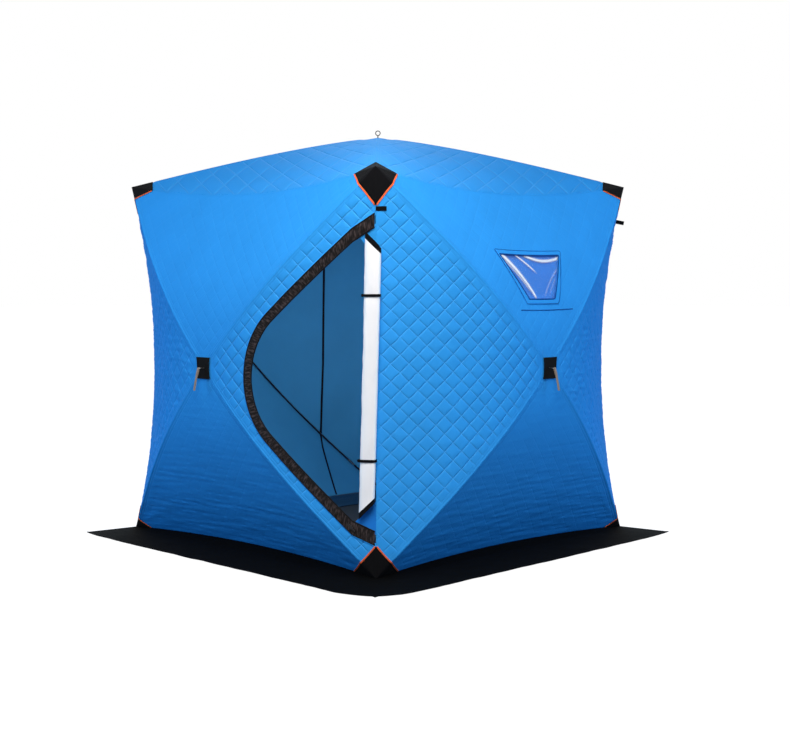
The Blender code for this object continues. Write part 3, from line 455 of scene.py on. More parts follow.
def path_point(points, share):
    """A point at a share of the length of a line of points."""
    lengths = [(b - a).length for a, b in zip(points, points[1:])]
    left = share * sum(lengths)
    for a, b, length in zip(points, points[1:], lengths):
        if left <= length:
            return a.lerp(b, left / length)
        left -= length
    return points[-1].copy()


def path_steps(points, steps):
    """Points spaced evenly along a line of points."""
    return [path_point(points, k / steps) for k in range(steps + 1)]


def path_way(points, share, step):
    """The direction of a line of points at a share of its length."""
    return path_point(points, min(share + step, 1)) - path_point(points, max(share - step, 0))


def closed_tube(sides, rings, place):
    """A sheet that meets itself round its rings, with its two ends filled."""
    bm = mapped_sheet(sides, rings, place)
    bmesh.ops.holes_fill(bm, edges=bm.edges[:], sides=sides)
    return face_out(bm)


def tube(points, radius, sides, rings, side_way):
    """A closed tube along a line of points. Its radius may be a function of the share along it."""
    size = radius if callable(radius) else lambda share: radius

    def place(x, y):
        ahead = path_way(points, y, 0.5 / rings)
        first = ahead.cross(side_way).normalized()
        second = ahead.cross(first).normalized()
        turn = math.tau * x
        return path_point(points, y) + (first * math.cos(turn) + second * math.sin(turn)) * size(y)

    return closed_tube(sides, rings, place)


def ribbon(panel, line, width, stand, ridge, rows):
    """Tape along flat points on a panel, with a ridge along each half of its width."""

    def place(x, y):
        ahead = path_way(line, y, 0.5 / rows)
        flat = path_point(line, y) + Vector((-ahead.y, ahead.x)).normalized() * (x - 0.5) * width
        a, b = (min(max(flat[k], -panel.size[k]), panel.size[k]) for k in (0, 1))
        spot = panel.surface(a, b, stand + ridge * abs(math.sin(math.tau * x)))
        spot.z = max(spot.z, HEM_HEIGHT)
        return spot

    return thicken(mapped_sheet(8, rows, place), TAPE_CLOTH)


def add_object(name, data):
    """An object at the origin, in the scene."""
    made = bpy.data.objects.new(name, data)
    bpy.context.scene.collection.objects.link(made)
    return made


def make_piece(name, bm, finishes, sharp=None, rides="shell", node=None):
    """A piece that rides on a body or is baked in place on its panel, and may replace a CAD node."""
    mesh = bpy.data.meshes.new(name)
    bm.to_mesh(mesh)
    bm.free()
    for finish in finishes.split():
        mesh.materials.append(FINISHES[finish])
    mesh.shade_smooth()
    if sharp:
        mesh.set_sharp_from_angle(angle=math.radians(sharp))
    piece = add_object(name, mesh)
    if isinstance(rides, str):
        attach(piece, rides)
    else:
        panel, way = rides
        panel.follow_hub(piece, way)
    if node:
        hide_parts(node)
    return piece


def set_finish(node, finish):
    """Gives a CAD node that stays in view its finish."""
    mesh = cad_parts[node].data
    mesh.materials.clear()
    mesh.materials.append(FINISHES[finish])


# Quilted gores
QUILT_CUTS = 6  # mesh cells across one quilted square
CRUMPLED_CUTS = 9  # where fine wrinkles hide most of the quilting
CRUMPLED_SHARE = 0.5
QUILT_EASE = 0.5  # draws the mesh towards the stitching
ROOF_CUTS = 12
POCKET_BAND = 0.045  # plain strip beside a pole
SLEEVE_WIDTH = 0.010  # half of the ridge over a pole
ROOF_SLEEVE_WIDTH = 0.030
# Degrees from across to the two rows of roof stitching in a gore, and the share of the pitch between them
ROOF_QUILT_TURNS = {"bottom": (104, 150), "top": (104, 150), "right": (167, 120), "left": (167, 120)}
ROOF_QUILT_SHARES = (1.0, 2.0)
PUFF_POWER = 0.42  # below 1 for full squares with narrow rows of stitching
SLEEVE_RIDGE = 0.003  # height of the ridge over a pole
LOWEST = -0.0025  # wrinkles stay outside the lining
PLAIN_EDGE = (0.004, 0.02)  # from a gore's edge to where its quilting starts, and where it is whole
SMOOTH_EDGE = (0.0, 0.025)  # the same for its wrinkles
SMOOTH_POLE = (0.0, 0.03)
SLEEVE_START = (0.02, 0.06)
PRESSED_CORNER = (0.95, 1.2)  # under caps and feet, to their size
PRESSED_HUB = (0.065, 0.1)  # under a hub's patch
GATHER_SIZE = (0.020, 0.08)  # along the zip and away from it
GATHER_REACH = 0.035

# Share of the quilting that shows in each gore
QUILTING = {
    ("front", "right"): 1.0,
    ("right", "left"): 1.0,
    ("front", "left"): 0.5,
    ("right", "right"): 0.5,
    "left": 0.7,
    "right": 0.7,
    "top": 0.20,
    "bottom": 0.10,
    "roof": 1.0,
}


# Wrinkles as depth, width and height in metres, and a turn of the noise
RIPPLES = {
    "roof": ((0.0012, 0.16, 0.16, 0),),
    "top": ((0.0012, 0.12, 0.10, 0), (0.0008, 0.045, 0.05, 3)),
    "bottom": ((0.0009, 0.22, 0.014, 0),),
    "hem": ((0.0028, 0.22, 0.014, 0), (0.0022, 0.12, 0.010, 3)),
    "seam": ((0.0060, 0.015, 0.18, 0),),
    "crumpled": ((0.0030, 0.07, 0.016, 3), (0.0020, 0.014, 0.08, 9)),
    "below_cap": ((0.009, 0.05, 0.08, 11),),
    "quilted": ((0.0020, 0.08, 0.035, 3),),
    "pole": ((0.0035, 0.014, 0.20, 9),),
}
POLE_REACH = 0.10
# Where wrinkles start and where they are whole, as shares of the way out, up or down from the hub
HEM_RUN = (0.3, 0.95)
SEAM_RUN = (0.70, 0.95)
BELOW_CAP_UP = (0.1, 0.6)
BELOW_CAP_OUT = (0.6, 0.9)
POLE_DOWN = (0.0, -0.6)
FAN_DEPTH = 0.0055  # folds that run out from the corners
FAN_FOLDS = 9  # to a radian
FAN_LENGTH = 0.5
FAN_START = (0.06, 0.2)
FAN_REACH = 0.28
HUB_DEPTH = 0.003  # folds that run out from the hub
HUB_FOLDS = 4
HUB_START = (0.04, 0.09)
HUB_REACH = 0.12


def quilting_of(panel, side):
    """How much of the quilting shows in a gore."""
    if panel is ROOF:
        return QUILTING["roof"]
    return QUILTING.get((panel.name, side), QUILTING.get(side))


def from_line(point, way):
    """Distance of a flat point from a line through the hub."""
    return abs(point.x * way.y - point.y * way.x) / way.length


def wrinkles(panel, side, flat):
    """Wrinkles of a gore: crosswise in the lower one, and fanned out from corners, hub and seams."""
    a, b = flat
    seed = 7.0 * list(PANELS).index(panel.name) + 1.7 * list(WAYS).index(side)

    def ripple(kind, x=a, y=b):
        rows = RIPPLES[kind]
        return sum(deep * waver(x / wide, y / tall, seed + k) for deep, wide, tall, k in rows)

    if panel is ROOF:
        return ripple("roof")
    across, up = (abs(flat[k]) / panel.size[k] for k in (0, 1))
    if side == "top":
        deep = ripple("top")
    elif side == "bottom":
        deep = ripple("bottom") + smooth(*HEM_RUN, up) * ripple("hem")
    else:
        deep = smooth(*SEAM_RUN, across) * ripple("seam")
        high = b / panel.size.y
        if quilting_of(panel, side) <= CRUMPLED_SHARE:
            deep += ripple("crumpled")
            below = smooth(*BELOW_CAP_UP, high) * smooth(*BELOW_CAP_OUT, across)
            deep += below * ripple("below_cap")
        else:
            pole = from_line(flat, panel.corner(WAYS[side].x, -1))
            along = ripple("pole", pole, flat.length)
            deep += ripple("quilted") + along * math.exp(-pole / POLE_REACH) * smooth(*POLE_DOWN, high)
    for right in (-1, 1):
        for top in (-1, 1):
            spoke = flat - panel.corner(right, top)
            away = spoke.length
            turn = math.atan2(spoke.y * top, spoke.x * right)
            fan = waver(turn * FAN_FOLDS, away / FAN_LENGTH, seed + 5 + right + 2 * top)
            deep += FAN_DEPTH * fan * smooth(*FAN_START, away) * math.exp(-away / FAN_REACH)
    around = math.atan2(b, a)
    pucker = waver(math.cos(around) * HUB_FOLDS, math.sin(around) * HUB_FOLDS, seed)
    return deep + HUB_DEPTH * pucker * smooth(*HUB_START, flat.length) * math.exp(-flat.length / HUB_REACH)


def gore_shape(panel, side, pitch, depth, hole=(), gathers=0.0):
    """One gore of a panel: a grid along the quilting, trimmed flat and then laid on the panel's surface."""
    way = WAYS[side]
    turn = Vector((-way.y, way.x))
    ends = [panel.corner(*(way + turn)), panel.corner(*(way - turn))]
    axes = [end.normalized() for end in ends]
    most = quilting_of(panel, side)
    cuts = [QUILT_CUTS if most > CRUMPLED_SHARE else CRUMPLED_CUTS] * 2
    sleeve_width = SLEEVE_WIDTH
    if panel is ROOF:
        turns = [math.radians(degrees) for degrees in ROOF_QUILT_TURNS[side]]
        axes = [Vector((math.cos(t), math.sin(t))) * share for t, share in zip(turns, ROOF_QUILT_SHARES)]
        cuts = [round(ROOF_CUTS * share) for share in ROOF_QUILT_SHARES]
        sleeve_width = ROOF_SLEEVE_WIDTH
    to_flat = Matrix(axes).transposed()
    to_cells = to_flat.inverted() * (1 / pitch)
    reach = [to_cells @ point for point in (Vector((0, 0)), *ends)]
    low = [math.floor(min(point[k] for point in reach) + 1e-4) for k in (0, 1)]
    cells = [math.ceil(max(point[k] for point in reach) - 1e-4) - low[k] for k in (0, 1)]

    bm = bmesh.new()
    bmesh.ops.create_grid(bm, x_segments=cells[0] * cuts[0], y_segments=cells[1] * cuts[1], size=0.5)
    for vert in bm.verts:
        spot = []
        for k in (0, 1):
            step = (vert.co[k] + 0.5) * cells[k]
            spot.append(low[k] + step - QUILT_EASE * math.sin(math.tau * step) / math.tau)
        vert.co = (to_flat @ (Vector(spot) * pitch)).to_3d()
    trims = [(ends[0], way)]
    for end, other in (ends, ends[::-1]):
        outward = Vector((-end.y, end.x))
        trims.append((Vector((0, 0)), outward if outward.dot(other) < 0 else -outward))
    for point, outward in trims:
        everything = bm.verts[:] + bm.edges[:] + bm.faces[:]
        cut = {"plane_co": point.to_3d(), "plane_no": outward.to_3d(), "clear_outer": True}
        bmesh.ops.bisect_plane(bm, geom=everything, dist=1e-5, **cut)
    if hole:
        cut_hole(bm, hole, 2 * pitch / cuts[0])

    uv = bm.loops.layers.uv.new("quilt")
    for face in bm.faces:
        for loop in face.loops:
            loop[uv].uv = to_cells @ loop.vert.co.to_2d()
    layer = bm.verts.layers.float.new("quilting")
    sleeve = bm.verts.layers.float.new("sleeve")
    inside = bm.verts.layers.float_vector.new("inside")
    rim = hole + hole[:1] if hole else ()
    for vert in bm.verts:
        flat = vert.co.to_2d()
        spot = to_cells @ flat
        ridge = min(from_line(flat, end) for end in ends)
        border = min(panel.size[k] - abs(flat[k]) for k in (0, 1))
        slack = wrinkles(panel, side, flat)
        if rim:
            away, along = beside_line(flat, rim)
            border = min(border, away)
            gather = waver(along / GATHER_SIZE[0], away / GATHER_SIZE[1], 6)
            slack += gathers * gather * math.exp(-away / GATHER_REACH)
        bare = smooth(*PRESSED_CORNER, under_corner(panel, flat)) * smooth(*PRESSED_HUB, flat.length)
        shown = most * smooth(*PLAIN_EDGE, border) * smooth(0.1 * POCKET_BAND, POCKET_BAND, ridge) * bare
        puff = math.prod(abs(math.sin(math.pi * spot[k])) ** PUFF_POWER for k in (0, 1))
        raised = depth * shown * puff
        raised += slack * bare * smooth(*SMOOTH_EDGE, border) * smooth(*SMOOTH_POLE, ridge)
        sleeved = math.exp(-((ridge / sleeve_width) ** 2))
        raised += SLEEVE_RIDGE * sleeved * smooth(*SLEEVE_START, border) * bare
        vert[layer] = shown
        vert[sleeve] = ridge
        vert[inside] = panel.surface(*flat) - (panel.normal + panel.seam(flat)) * FABRIC
        vert.co = panel.surface(*flat, max(raised, LOWEST))
    return bm


def from_piece(point, start, end):
    """Distance of a flat point from a straight piece of a line."""
    run = end - start
    share = min(max((point - start).dot(run) / run.length_squared, 0), 1)
    return (point - start - run * share).length


def beside_line(point, line):
    """How far a flat point lies from a line of points, and how far along that line it is."""
    gone = 0.0
    best = (math.inf, 0.0)
    for start, end in zip(line, line[1:]):
        run = end - start
        away = from_piece(point, start, end)
        if away < best[0]:
            best = (away, gone + min(max((point - start).dot(run) / run.length, 0), run.length))
        gone += run.length
    return best


def cut_hole(bm, outline, near):
    """Cuts a convex hole, given anticlockwise, out of a flat grid."""
    sides = list(zip(outline, outline[1:] + outline[:1]))
    for start, end in sides:
        run = end - start
        middles = [(face, face.calc_center_median().to_2d()) for face in bm.faces]
        beside = [face for face, middle in middles if from_piece(middle, start, end) < near]
        parts = {part for face in beside for part in (*face.verts, *face.edges)}
        cut = {"plane_co": start.to_3d(), "plane_no": (-run.y, run.x, 0)}
        bmesh.ops.bisect_plane(bm, geom=list(parts) + beside, dist=MERGE, **cut)
    inside = []
    for face in bm.faces:
        middle = face.calc_center_median().to_2d()
        if all((end - start).cross(middle - start) > 0 for start, end in sides):
            inside.append(face)
    bmesh.ops.delete(bm, geom=inside, context="FACES")


def line_gore(bm):
    """Gives a gore its wadding and smooth lining, mitred where it meets the next panel."""
    grown = bmesh.ops.extrude_face_region(bm, geom=bm.faces[:])
    inner = {part for part in grown["geom"] if isinstance(part, bmesh.types.BMVert)}
    inside = bm.verts.layers.float_vector["inside"]
    for vert in inner:
        vert.co = vert[inside]
    for face in bm.faces:
        if all(vert in inner for vert in face.verts):
            face.material_index = 1
    bm.verts.layers.float_vector.remove(inside)
    face_out(bm)


class SHELTER_OT_cloth(bpy.types.Operator):
    """Quilted walls and roof, four gores to each, with their lining"""

    bl_idname = "shelter.cloth"
    bl_label = "Quilted walls and roof"

    def execute(self, context):
        sizes = context.scene.shelter_sizes
        holes = {
            ("front", "right"): (door_hole(WALLS["front"]), DOOR_GATHERS),
            ("right", "top"): (window_hole(WALLS["right"]), 0.0),
        }
        for panel in PANELS.values():
            pitch = sizes.roof_pitch if panel is ROOF else sizes.quilt_pitch
            for side, way in WAYS.items():
                hole, gathers = holes.get((panel.name, side), ((), 0.0))
                bm = gore_shape(panel, side, pitch, sizes.quilt_depth, hole, gathers)
                area = flat_area(bm)
                line_gore(bm)
                name = f"{panel.node}_{side}_gore"
                follow = (panel, way)
                piece = make_piece(name, bm, "quilted lining", None, follow, panel.node)
        return {"FINISHED"}


# Door
DOOR_TOP_OFFSET = 0.103
DOOR_LOW_OFFSET = 0.057
DOOR_BEND = 0.39
DOOR_TOP = 1.575
DOOR_BOTTOM = 0.149
DOOR_END = 0.10
DOOR_TOP_SLACK = 0.024  # the zip's straight runs droop into the doorway at their ends
DOOR_LOW_SLACK = 0.012
DOOR_GATHERS = 0.006  # depth of the folds drawn in along the zip
BAND_WIDTH = 0.038
BAND_STEPS = 400
BEND_CELLS = 24
DOOR_PAST_SEAM = 0.1  # so that the cut runs out over the wall's edge


def door_outline(panel, inset):
    """The zip's line in flat distances from its upper end down, moved in from the opening's edge."""
    wide, tall = panel.size
    slant = panel.slant
    below_upper = Vector((tall, -wide)) / slant
    above_lower = Vector((tall, wide)) / slant
    top_offset = DOOR_TOP_OFFSET + inset
    low_offset = DOOR_LOW_OFFSET + inset
    bend = DOOR_BEND - inset
    aside = (top_offset + low_offset + 2 * bend) * slant / (2 * tall)
    centre = Vector((aside, (low_offset - top_offset) * slant / (2 * wide)))
    start = math.atan2(-below_upper.y, -below_upper.x)
    sweep = (math.atan2(-above_lower.y, -above_lower.x) - start) % math.tau
    turns = [start + sweep * k / BEND_CELLS for k in range(BEND_CELLS + 1)]
    bend_points = [centre + Vector((math.cos(t), math.sin(t))) * bend for t in turns]
    seam_end = wide - DOOR_END
    upper = Vector((seam_end, (below_upper.x * seam_end - top_offset) / -below_upper.y - DOOR_TOP_SLACK))
    lower = Vector((seam_end, (low_offset - above_lower.x * seam_end) / above_lower.y + DOOR_LOW_SLACK))
    spread = inset * slant / wide
    first = Vector((wide, panel.level(DOOR_TOP) - spread))
    last = Vector((wide, panel.level(DOOR_BOTTOM) + spread))
    return [first, upper, *bend_points, lower, last]


def door_hole(panel):
    """The doorway in the front wall, out past its upright seam."""
    outline = door_outline(panel, 0)
    beyond = Vector((DOOR_PAST_SEAM, 0))
    return [outline[0] + beyond] + outline + [outline[-1] + beyond]


WINDOW_TOP = 1.44
WINDOW_BOTTOM = 1.215
WINDOW_TOP_WIDTH = 0.444
WINDOW_BOTTOM_WIDTH = 0.193
WINDOW_ASIDE = 0.012


def window_hole(panel, grow=0.0):
    """The window's corners in flat distances, anticlockwise, moved out from its edge."""
    top, bottom = panel.level(WINDOW_TOP) + grow, panel.level(WINDOW_BOTTOM) - grow
    wide, narrow = WINDOW_TOP_WIDTH / 2 + grow, WINDOW_BOTTOM_WIDTH / 2 + grow
    corners = ((-narrow, bottom), (narrow, bottom), (wide, top), (-wide, top))
    return [Vector((a - WINDOW_ASIDE, b)) for a, b in corners]


# Skirt
SKIRT_WIDTH = 0.31
SKIRT_ROUND = 0.25  # radius of the corner between the front and right walls
SKIRT_TIP = 0.012  # point at that corner, where the two strips are sewn together
SKIRT_TIP_RUN = (0.985, 1.0)  # along a strip, from its middle to its end
SKIRT_STILL_RUN = (1.0, 0.85)  # where its ends lie flat
SKIRT_FLARE = 0.16  # a free end's slant, to its width
SKIRT_END_TRIM = 0.035  # narrower at a free end
SKIRT_END_CURVE = 8  # power of the curve of that trim
SKIRT_END_GAP = 0.012  # turned in ends from the corners
SKIRT_HEM = 0.014
SKIRT_CLOTH = 0.0015
SKIRT_HEM_RISE = 0.001
SKIRT_WAVES = ((0.004, 0.11, 1), (0.0015, 0.04, 4))  # height, width and seed of its slack
SKIRT_JOINED_ENDS = {"front": 1, "right": -1, "back": 1, "left": -1}
SKIRT_TURNED_IN = ("back", "left")


def skirt_edge(panel, along, joined):
    """A spread strip's outer edge: on an arc at a joined corner, with a slight curve at a free end."""
    edge = HALF + SKIRT_WIDTH
    if joined:
        straight = 1 - SKIRT_ROUND / edge
        turn = math.pi / 4 * max(abs(along) - straight, 0) / (1 - straight)
        tip = SKIRT_TIP * smooth(*SKIRT_TIP_RUN, abs(along))
        out = edge - SKIRT_ROUND * (1 - math.cos(turn)) + tip
        aside = edge * min(abs(along), straight) + SKIRT_ROUND * math.sin(turn) + tip
    else:
        out = edge - SKIRT_END_TRIM * along**SKIRT_END_CURVE
        aside = abs(along) * (HALF + SKIRT_FLARE * SKIRT_WIDTH)
    return MIDDLE + panel.normal * out + panel.across * math.copysign(aside, along)


def skirt_strip(panel):
    """One side of the skirt, which comes down from the hem and lies on the ground in slack waves."""
    turned_in = panel.name in SKIRT_TURNED_IN

    def place(x, y):
        along = math.sin(math.pi * (x - 0.5))
        share = 1 - along**2
        joined = along * SKIRT_JOINED_ENDS[panel.name] > 0
        hem = -HEM_SAG * share

        def flat(out):
            spread = out if joined else SKIRT_FLARE * out - (SKIRT_END_GAP if turned_in else 0)
            return MIDDLE + panel.normal * (HALF + out) + panel.across * along * (HALF + spread)

        if turned_in:
            start, end = flat(hem + SKIRT_LAP), flat(-SKIRT_WIDTH)
        else:
            start, end = flat(hem - FABRIC - SKIRT_LAP), skirt_edge(panel, along, joined)
        spot = start.lerp(end, y)
        away = (spot - start).length
        left = (end - spot).length
        fall = smooth(FABRIC + 2 * SKIRT_LAP, SKIRT_RAMP, away)
        still = smooth(*SKIRT_STILL_RUN, abs(along))
        slack = 0.0
        for high, wide, seed in SKIRT_WAVES:
            slack += high * (0.5 + 0.5 * waver(spot.x / wide, spot.y / wide, seed))
        height = HEM_LIFT * share * (1 - fall) + fall * still * slack
        height += SKIRT_HEM_RISE * smooth(SKIRT_HEM + 0.002, SKIRT_HEM, left)
        return spot + Z * (SKIRT_THICKNESS + height)

    return thicken(mapped_sheet(96, 36, place), SKIRT_CLOTH)


class SHELTER_OT_skirt(bpy.types.Operator):
    """Skirt on the ground, one strip to a wall: black where it is spread, coated where it is turned in"""

    bl_idname = "shelter.skirt"
    bl_label = "Skirt"

    def execute(self, context):
        for name, panel in WALLS.items():
            bm, area = skirt_strip(panel)
            finish, slot, node = ("skirt", "skirt_cloth", "skirt")
            if name in SKIRT_TURNED_IN:
                finish, slot, node = ("skirt_back", "skirt_back", "skirt_turned_in")
            piece = make_piece(f"skirt_{name}_strip", bm, finish, node=node)
        return {"FINISHED"}


# Corner caps and feet
CAP = (0.15, 0.135)  # along the eave, and down
DOOR_CAP = (0.15, 0.16)
FOOT = (0.12, 0.11)  # along the hem, and up
DOOR_FOOT = (0.15, 0.135)
CAP_STAND = 0.0034  # outside of a cap from the outer cloth
CAP_CLOTH = 0.0016
CORNER_BOW = -0.010  # the free edges of caps and feet bow in
BINDING_WIDTH = 0.007  # as folded
BINDING_STAND = 0.0012  # binding from the outside of its cap
BINDING_RIDGE = 0.0014
BINDING_STEPS = 24


def corner_sizes(name, top):
    """A cap's leg along the eave and drop, or a foot's run along the hem and rise."""
    if name == DOOR_CORNER:
        return DOOR_CAP if top > 0 else DOOR_FOOT
    return CAP if top > 0 else FOOT


def walls_at(corner):
    """The two walls that meet at an upright seam, each with the sign of its flat distance there."""
    met = [(panel, corner.dot(panel.across)) for panel in WALLS.values() if corner.dot(panel.normal) > 0]
    return [(panel, math.copysign(1, side)) for panel, side in met]


def corner_patches(name, top):
    """The three corners of each patch of a cap or a foot, in flat distances on its panel."""
    corner = CORNERS[name]
    run, rise = corner_sizes(name, top)
    patches = []
    for panel, right in walls_at(corner):
        tip = panel.corner(right, top)
        patches.append((panel, tip, tip - Vector((right * run, 0)), tip - Vector((0, top * rise))))
    if top > 0:
        tip = ROOF.corner(corner.x, corner.y)
        legs = (Vector((corner.x * run, 0)), Vector((0, corner.y * run)))
        patches.append((ROOF, tip, tip - legs[0], tip - legs[1]))
    return patches


def under_corner(panel, flat):
    """How far a flat point lies outside the nearest cap or foot: 1 at its edge and less beneath it."""
    outside = math.inf
    for name, corner in CORNERS.items():
        for top in (1, -1):
            run, rise = corner_sizes(name, top)
            if panel is ROOF:
                if top < 0:
                    continue
                reach = [HALF - flat.x * corner.x, HALF - flat.y * corner.y]
                rise = run
            else:
                if corner.dot(panel.normal) <= 0:
                    continue
                right = math.copysign(1, corner.dot(panel.across))
                reach = [panel.size.x - flat.x * right, panel.size.y - flat.y * top]
            outside = min(outside, reach[0] / run + reach[1] / rise)
    return outside


def corner_edge(patch, share):
    """A flat point along the free edge of a patch."""
    panel, tip, first, second = patch
    straight = first.lerp(second, share)
    bow = 0 if panel is ROOF else CORNER_BOW * 4 * share * (1 - share)
    return straight + (straight - tip).normalized() * bow


def corner_shape(patches):
    """Patches that meet at a corner, joined and raised from the cloth."""
    bm = bmesh.new()
    bm.loops.layers.uv.new("weave")
    for patch in patches:
        panel, tip = patch[:2]

        def place(x, y):
            flat = tip.lerp(corner_edge(patch, x), y)
            return panel.surface(*flat)

        add_sheet(bm, 16, 12, place)
    bmesh.ops.remove_doubles(bm, verts=bm.verts, dist=10 * MERGE)
    face_out(bm)
    middle = sum((vert.co for vert in bm.verts), Vector()) / len(bm.verts)
    outward = middle - MIDDLE - Z * (EAVE_HEIGHT / 2)
    if sum((face.normal * face.calc_area() for face in bm.faces), Vector()).dot(outward) < 0:
        bmesh.ops.reverse_faces(bm, faces=bm.faces)
    bm.normal_update()
    moves = [(vert, vert.normal * CAP_STAND * vert.calc_shell_factor()) for vert in bm.verts]
    for vert, move in moves:
        vert.co += move
        vert.co.z = max(vert.co.z, HEM_HEIGHT)
    return thicken(bm, CAP_CLOTH)


class SHELTER_OT_corners(bpy.types.Operator):
    """Reinforced corner caps and feet with bound edges"""

    bl_idname = "shelter.corners"
    bl_label = "Corner caps and feet"

    def execute(self, context):
        for name in CORNERS:
            for top, kind in ((1, "corner_cap"), (-1, "corner_foot")):
                patches = corner_patches(name, top)
                bm, area = corner_shape(patches)
                node = f"{kind}_{name}"
                piece = make_piece(f"{node}_cloth", bm, "webbing", 40, node=node)
                for patch in patches[:2]:
                    panel = patch[0]
                    line = [corner_edge(patch, k / BINDING_STEPS) for k in range(BINDING_STEPS + 1)]
                    stand = CAP_STAND + BINDING_STAND
                    bm, area = ribbon(panel, line, BINDING_WIDTH, stand, BINDING_RIDGE, BINDING_STEPS)
                    binding = make_piece(f"{node}_{panel.name}_binding", bm, "binding")
        return {"FINISHED"}


# Hubs and poles
POLE_RADIUS = 0.005
POLE_DEPTH = 0.0186  # a pole's axis below the outer cloth
TIP_FROM_CORNER = 0.056
FERRULE_RADIUS = 0.0065
FERRULE_LENGTH = 0.05
FERRULE_FROM_CORNER = 0.235
PIN_CIRCLE = 0.033
PIN_RADIUS = 0.0025
EYE_RADIUS = 0.008
EYE_HALF_WIDTH = 0.004
TONGUE_RADIUS = 0.0036
TONGUE_END = 0.052
POCKET_NEAR = 0.050
POCKET_FAR = 0.085
POCKET_RADIUS = 0.0085
POCKET_TAPER = 0.001
PIN_CLEARANCE = 0.0006
EYE_OVERLAP = 0.7  # of the eye's radius, to where the rod starts
TONGUE_STEP = 0.003
TIP_TAPER = 0.5
TIP_LENGTH = 0.003
TIP_RINGS = (0.004, 0.0015)  # back from the tip
POLE_EDGE = 0.0012  # half of the step to a ferrule
POLE_STEP = 0.001  # over which its direction is taken
POLE_STEPS = 80


def pole_point(panel, right, top, distance):
    """A point on a pole's axis, at a distance from the hub's axis."""
    flat = panel.corner(right, top).normalized() * distance
    return panel.place(flat.x, flat.y, panel.ridge(distance / panel.slant) - POLE_DEPTH)


def turned(profile, place, steps):
    """A closed ring turned from a profile of radii and heights round an axis."""
    bm = bmesh.new()
    verts = [bm.verts.new((radius, 0, height)) for radius, height in profile]
    edges = [bm.edges.new(pair) for pair in zip(verts, verts[1:] + verts[:1])]
    bmesh.ops.spin(bm, geom=verts + edges, axis=Z, angle=math.tau, steps=steps, use_merge=True)
    bmesh.ops.remove_doubles(bm, verts=bm.verts, dist=MERGE)
    face_out(bm)
    bmesh.ops.transform(bm, matrix=place, verts=bm.verts)
    return bm


def joined(shapes):
    """One shape from several."""
    whole = bmesh.new()
    for bm in shapes:
        part = bpy.data.meshes.new("part")
        bm.to_mesh(part)
        bm.free()
        whole.from_mesh(part)
        bpy.data.meshes.remove(part)
    return whole


def pole_shape(panel, right, top):
    """A bowed rod with an eye on the hub's pin, a ferrule and a tip in the corner's pocket."""
    start = PIN_CIRCLE + EYE_RADIUS * EYE_OVERLAP
    tip = panel.slant - TIP_FROM_CORNER
    ferrule_end = panel.slant - FERRULE_FROM_CORNER
    ferrule_start = ferrule_end - FERRULE_LENGTH
    stations = [start + (tip - start) * k / POLE_STEPS for k in range(POLE_STEPS + 1)]
    for bend in (TONGUE_END - TONGUE_STEP, TONGUE_END + TONGUE_STEP, ferrule_start, ferrule_end):
        stations += [bend - POLE_EDGE, bend + POLE_EDGE]
    stations += [tip - back for back in TIP_RINGS]
    stations.sort()
    along = panel.pole_point_way(right, top)
    side_way = along.cross(panel.normal)

    def radius(distance):
        if distance < TONGUE_END:
            return TONGUE_RADIUS
        if ferrule_start < distance < ferrule_end:
            return FERRULE_RADIUS
        return POLE_RADIUS * (1 - TIP_TAPER * smooth(tip - TIP_LENGTH, tip, distance))

    def place(x, y):
        index = round(y * (len(stations) - 1))
        distance = stations[index]
        here = pole_point(panel, right, top, distance)
        steps = (distance - POLE_STEP, distance + POLE_STEP)
        before, after = (pole_point(panel, right, top, step) for step in steps)
        ahead = after - before
        lift = side_way.cross(ahead).normalized()
        turn = math.tau * x
        return here + (side_way * math.cos(turn) + lift * math.sin(turn)) * radius(distance)

    bm = closed_tube(12, len(stations) - 1, place)
    for face in bm.faces:
        distance = (face.calc_center_median() - panel.place(0, 0, 0)).dot(along)
        face.material_index = 1 if ferrule_start < distance < ferrule_end else 0
    pin = pole_point(panel, right, top, PIN_CIRCLE)
    eye = Matrix.Translation(pin) @ side_way.to_track_quat("Z", "Y").to_matrix().to_4x4()
    hole = PIN_RADIUS + PIN_CLEARANCE
    wide = EYE_HALF_WIDTH
    ring = [(EYE_RADIUS, -wide), (EYE_RADIUS, wide), (hole, wide), (hole, -wide)]
    return joined([bm, turned(ring, eye, 24)])


def pole_name(panel, right, top):
    """A pole's name from the corner of its panel, as seen from outside."""
    high, low = ("back", "front") if panel is ROOF else ("top", "bottom")
    return f"pole_{panel.name}_{high if top > 0 else low}_{'right' if right > 0 else 'left'}"


class SHELTER_OT_frame(bpy.types.Operator):
    """Poles that bow with the cloth, their corner pockets, and the moulded hubs"""

    bl_idname = "shelter.frame"
    bl_label = "Poles and hubs"

    def execute(self, context):
        for panel in PANELS.values():
            for right in (-1, 1):
                for top in (-1, 1):
                    name = pole_name(panel, right, top)
                    follow = (panel, Vector((right, top)))
                    bm = pole_shape(panel, right, top)
                    make_piece(f"{name}_rod", bm, "rod steel", 40, follow, name)
                    ends = (panel.slant - POCKET_FAR, panel.slant - POCKET_NEAR)
                    line = [pole_point(panel, right, top, end) for end in ends]
                    side_way = panel.pole_point_way(right, top).cross(panel.normal)
                    bm = tube(line, lambda share: POCKET_RADIUS - POCKET_TAPER * share, 12, 6, side_way)
                    make_piece(f"{name}_pocket", bm, "webbing", 40)
            set_finish(f"hub_{panel.name}", "nylon")
        return {"FINISHED"}


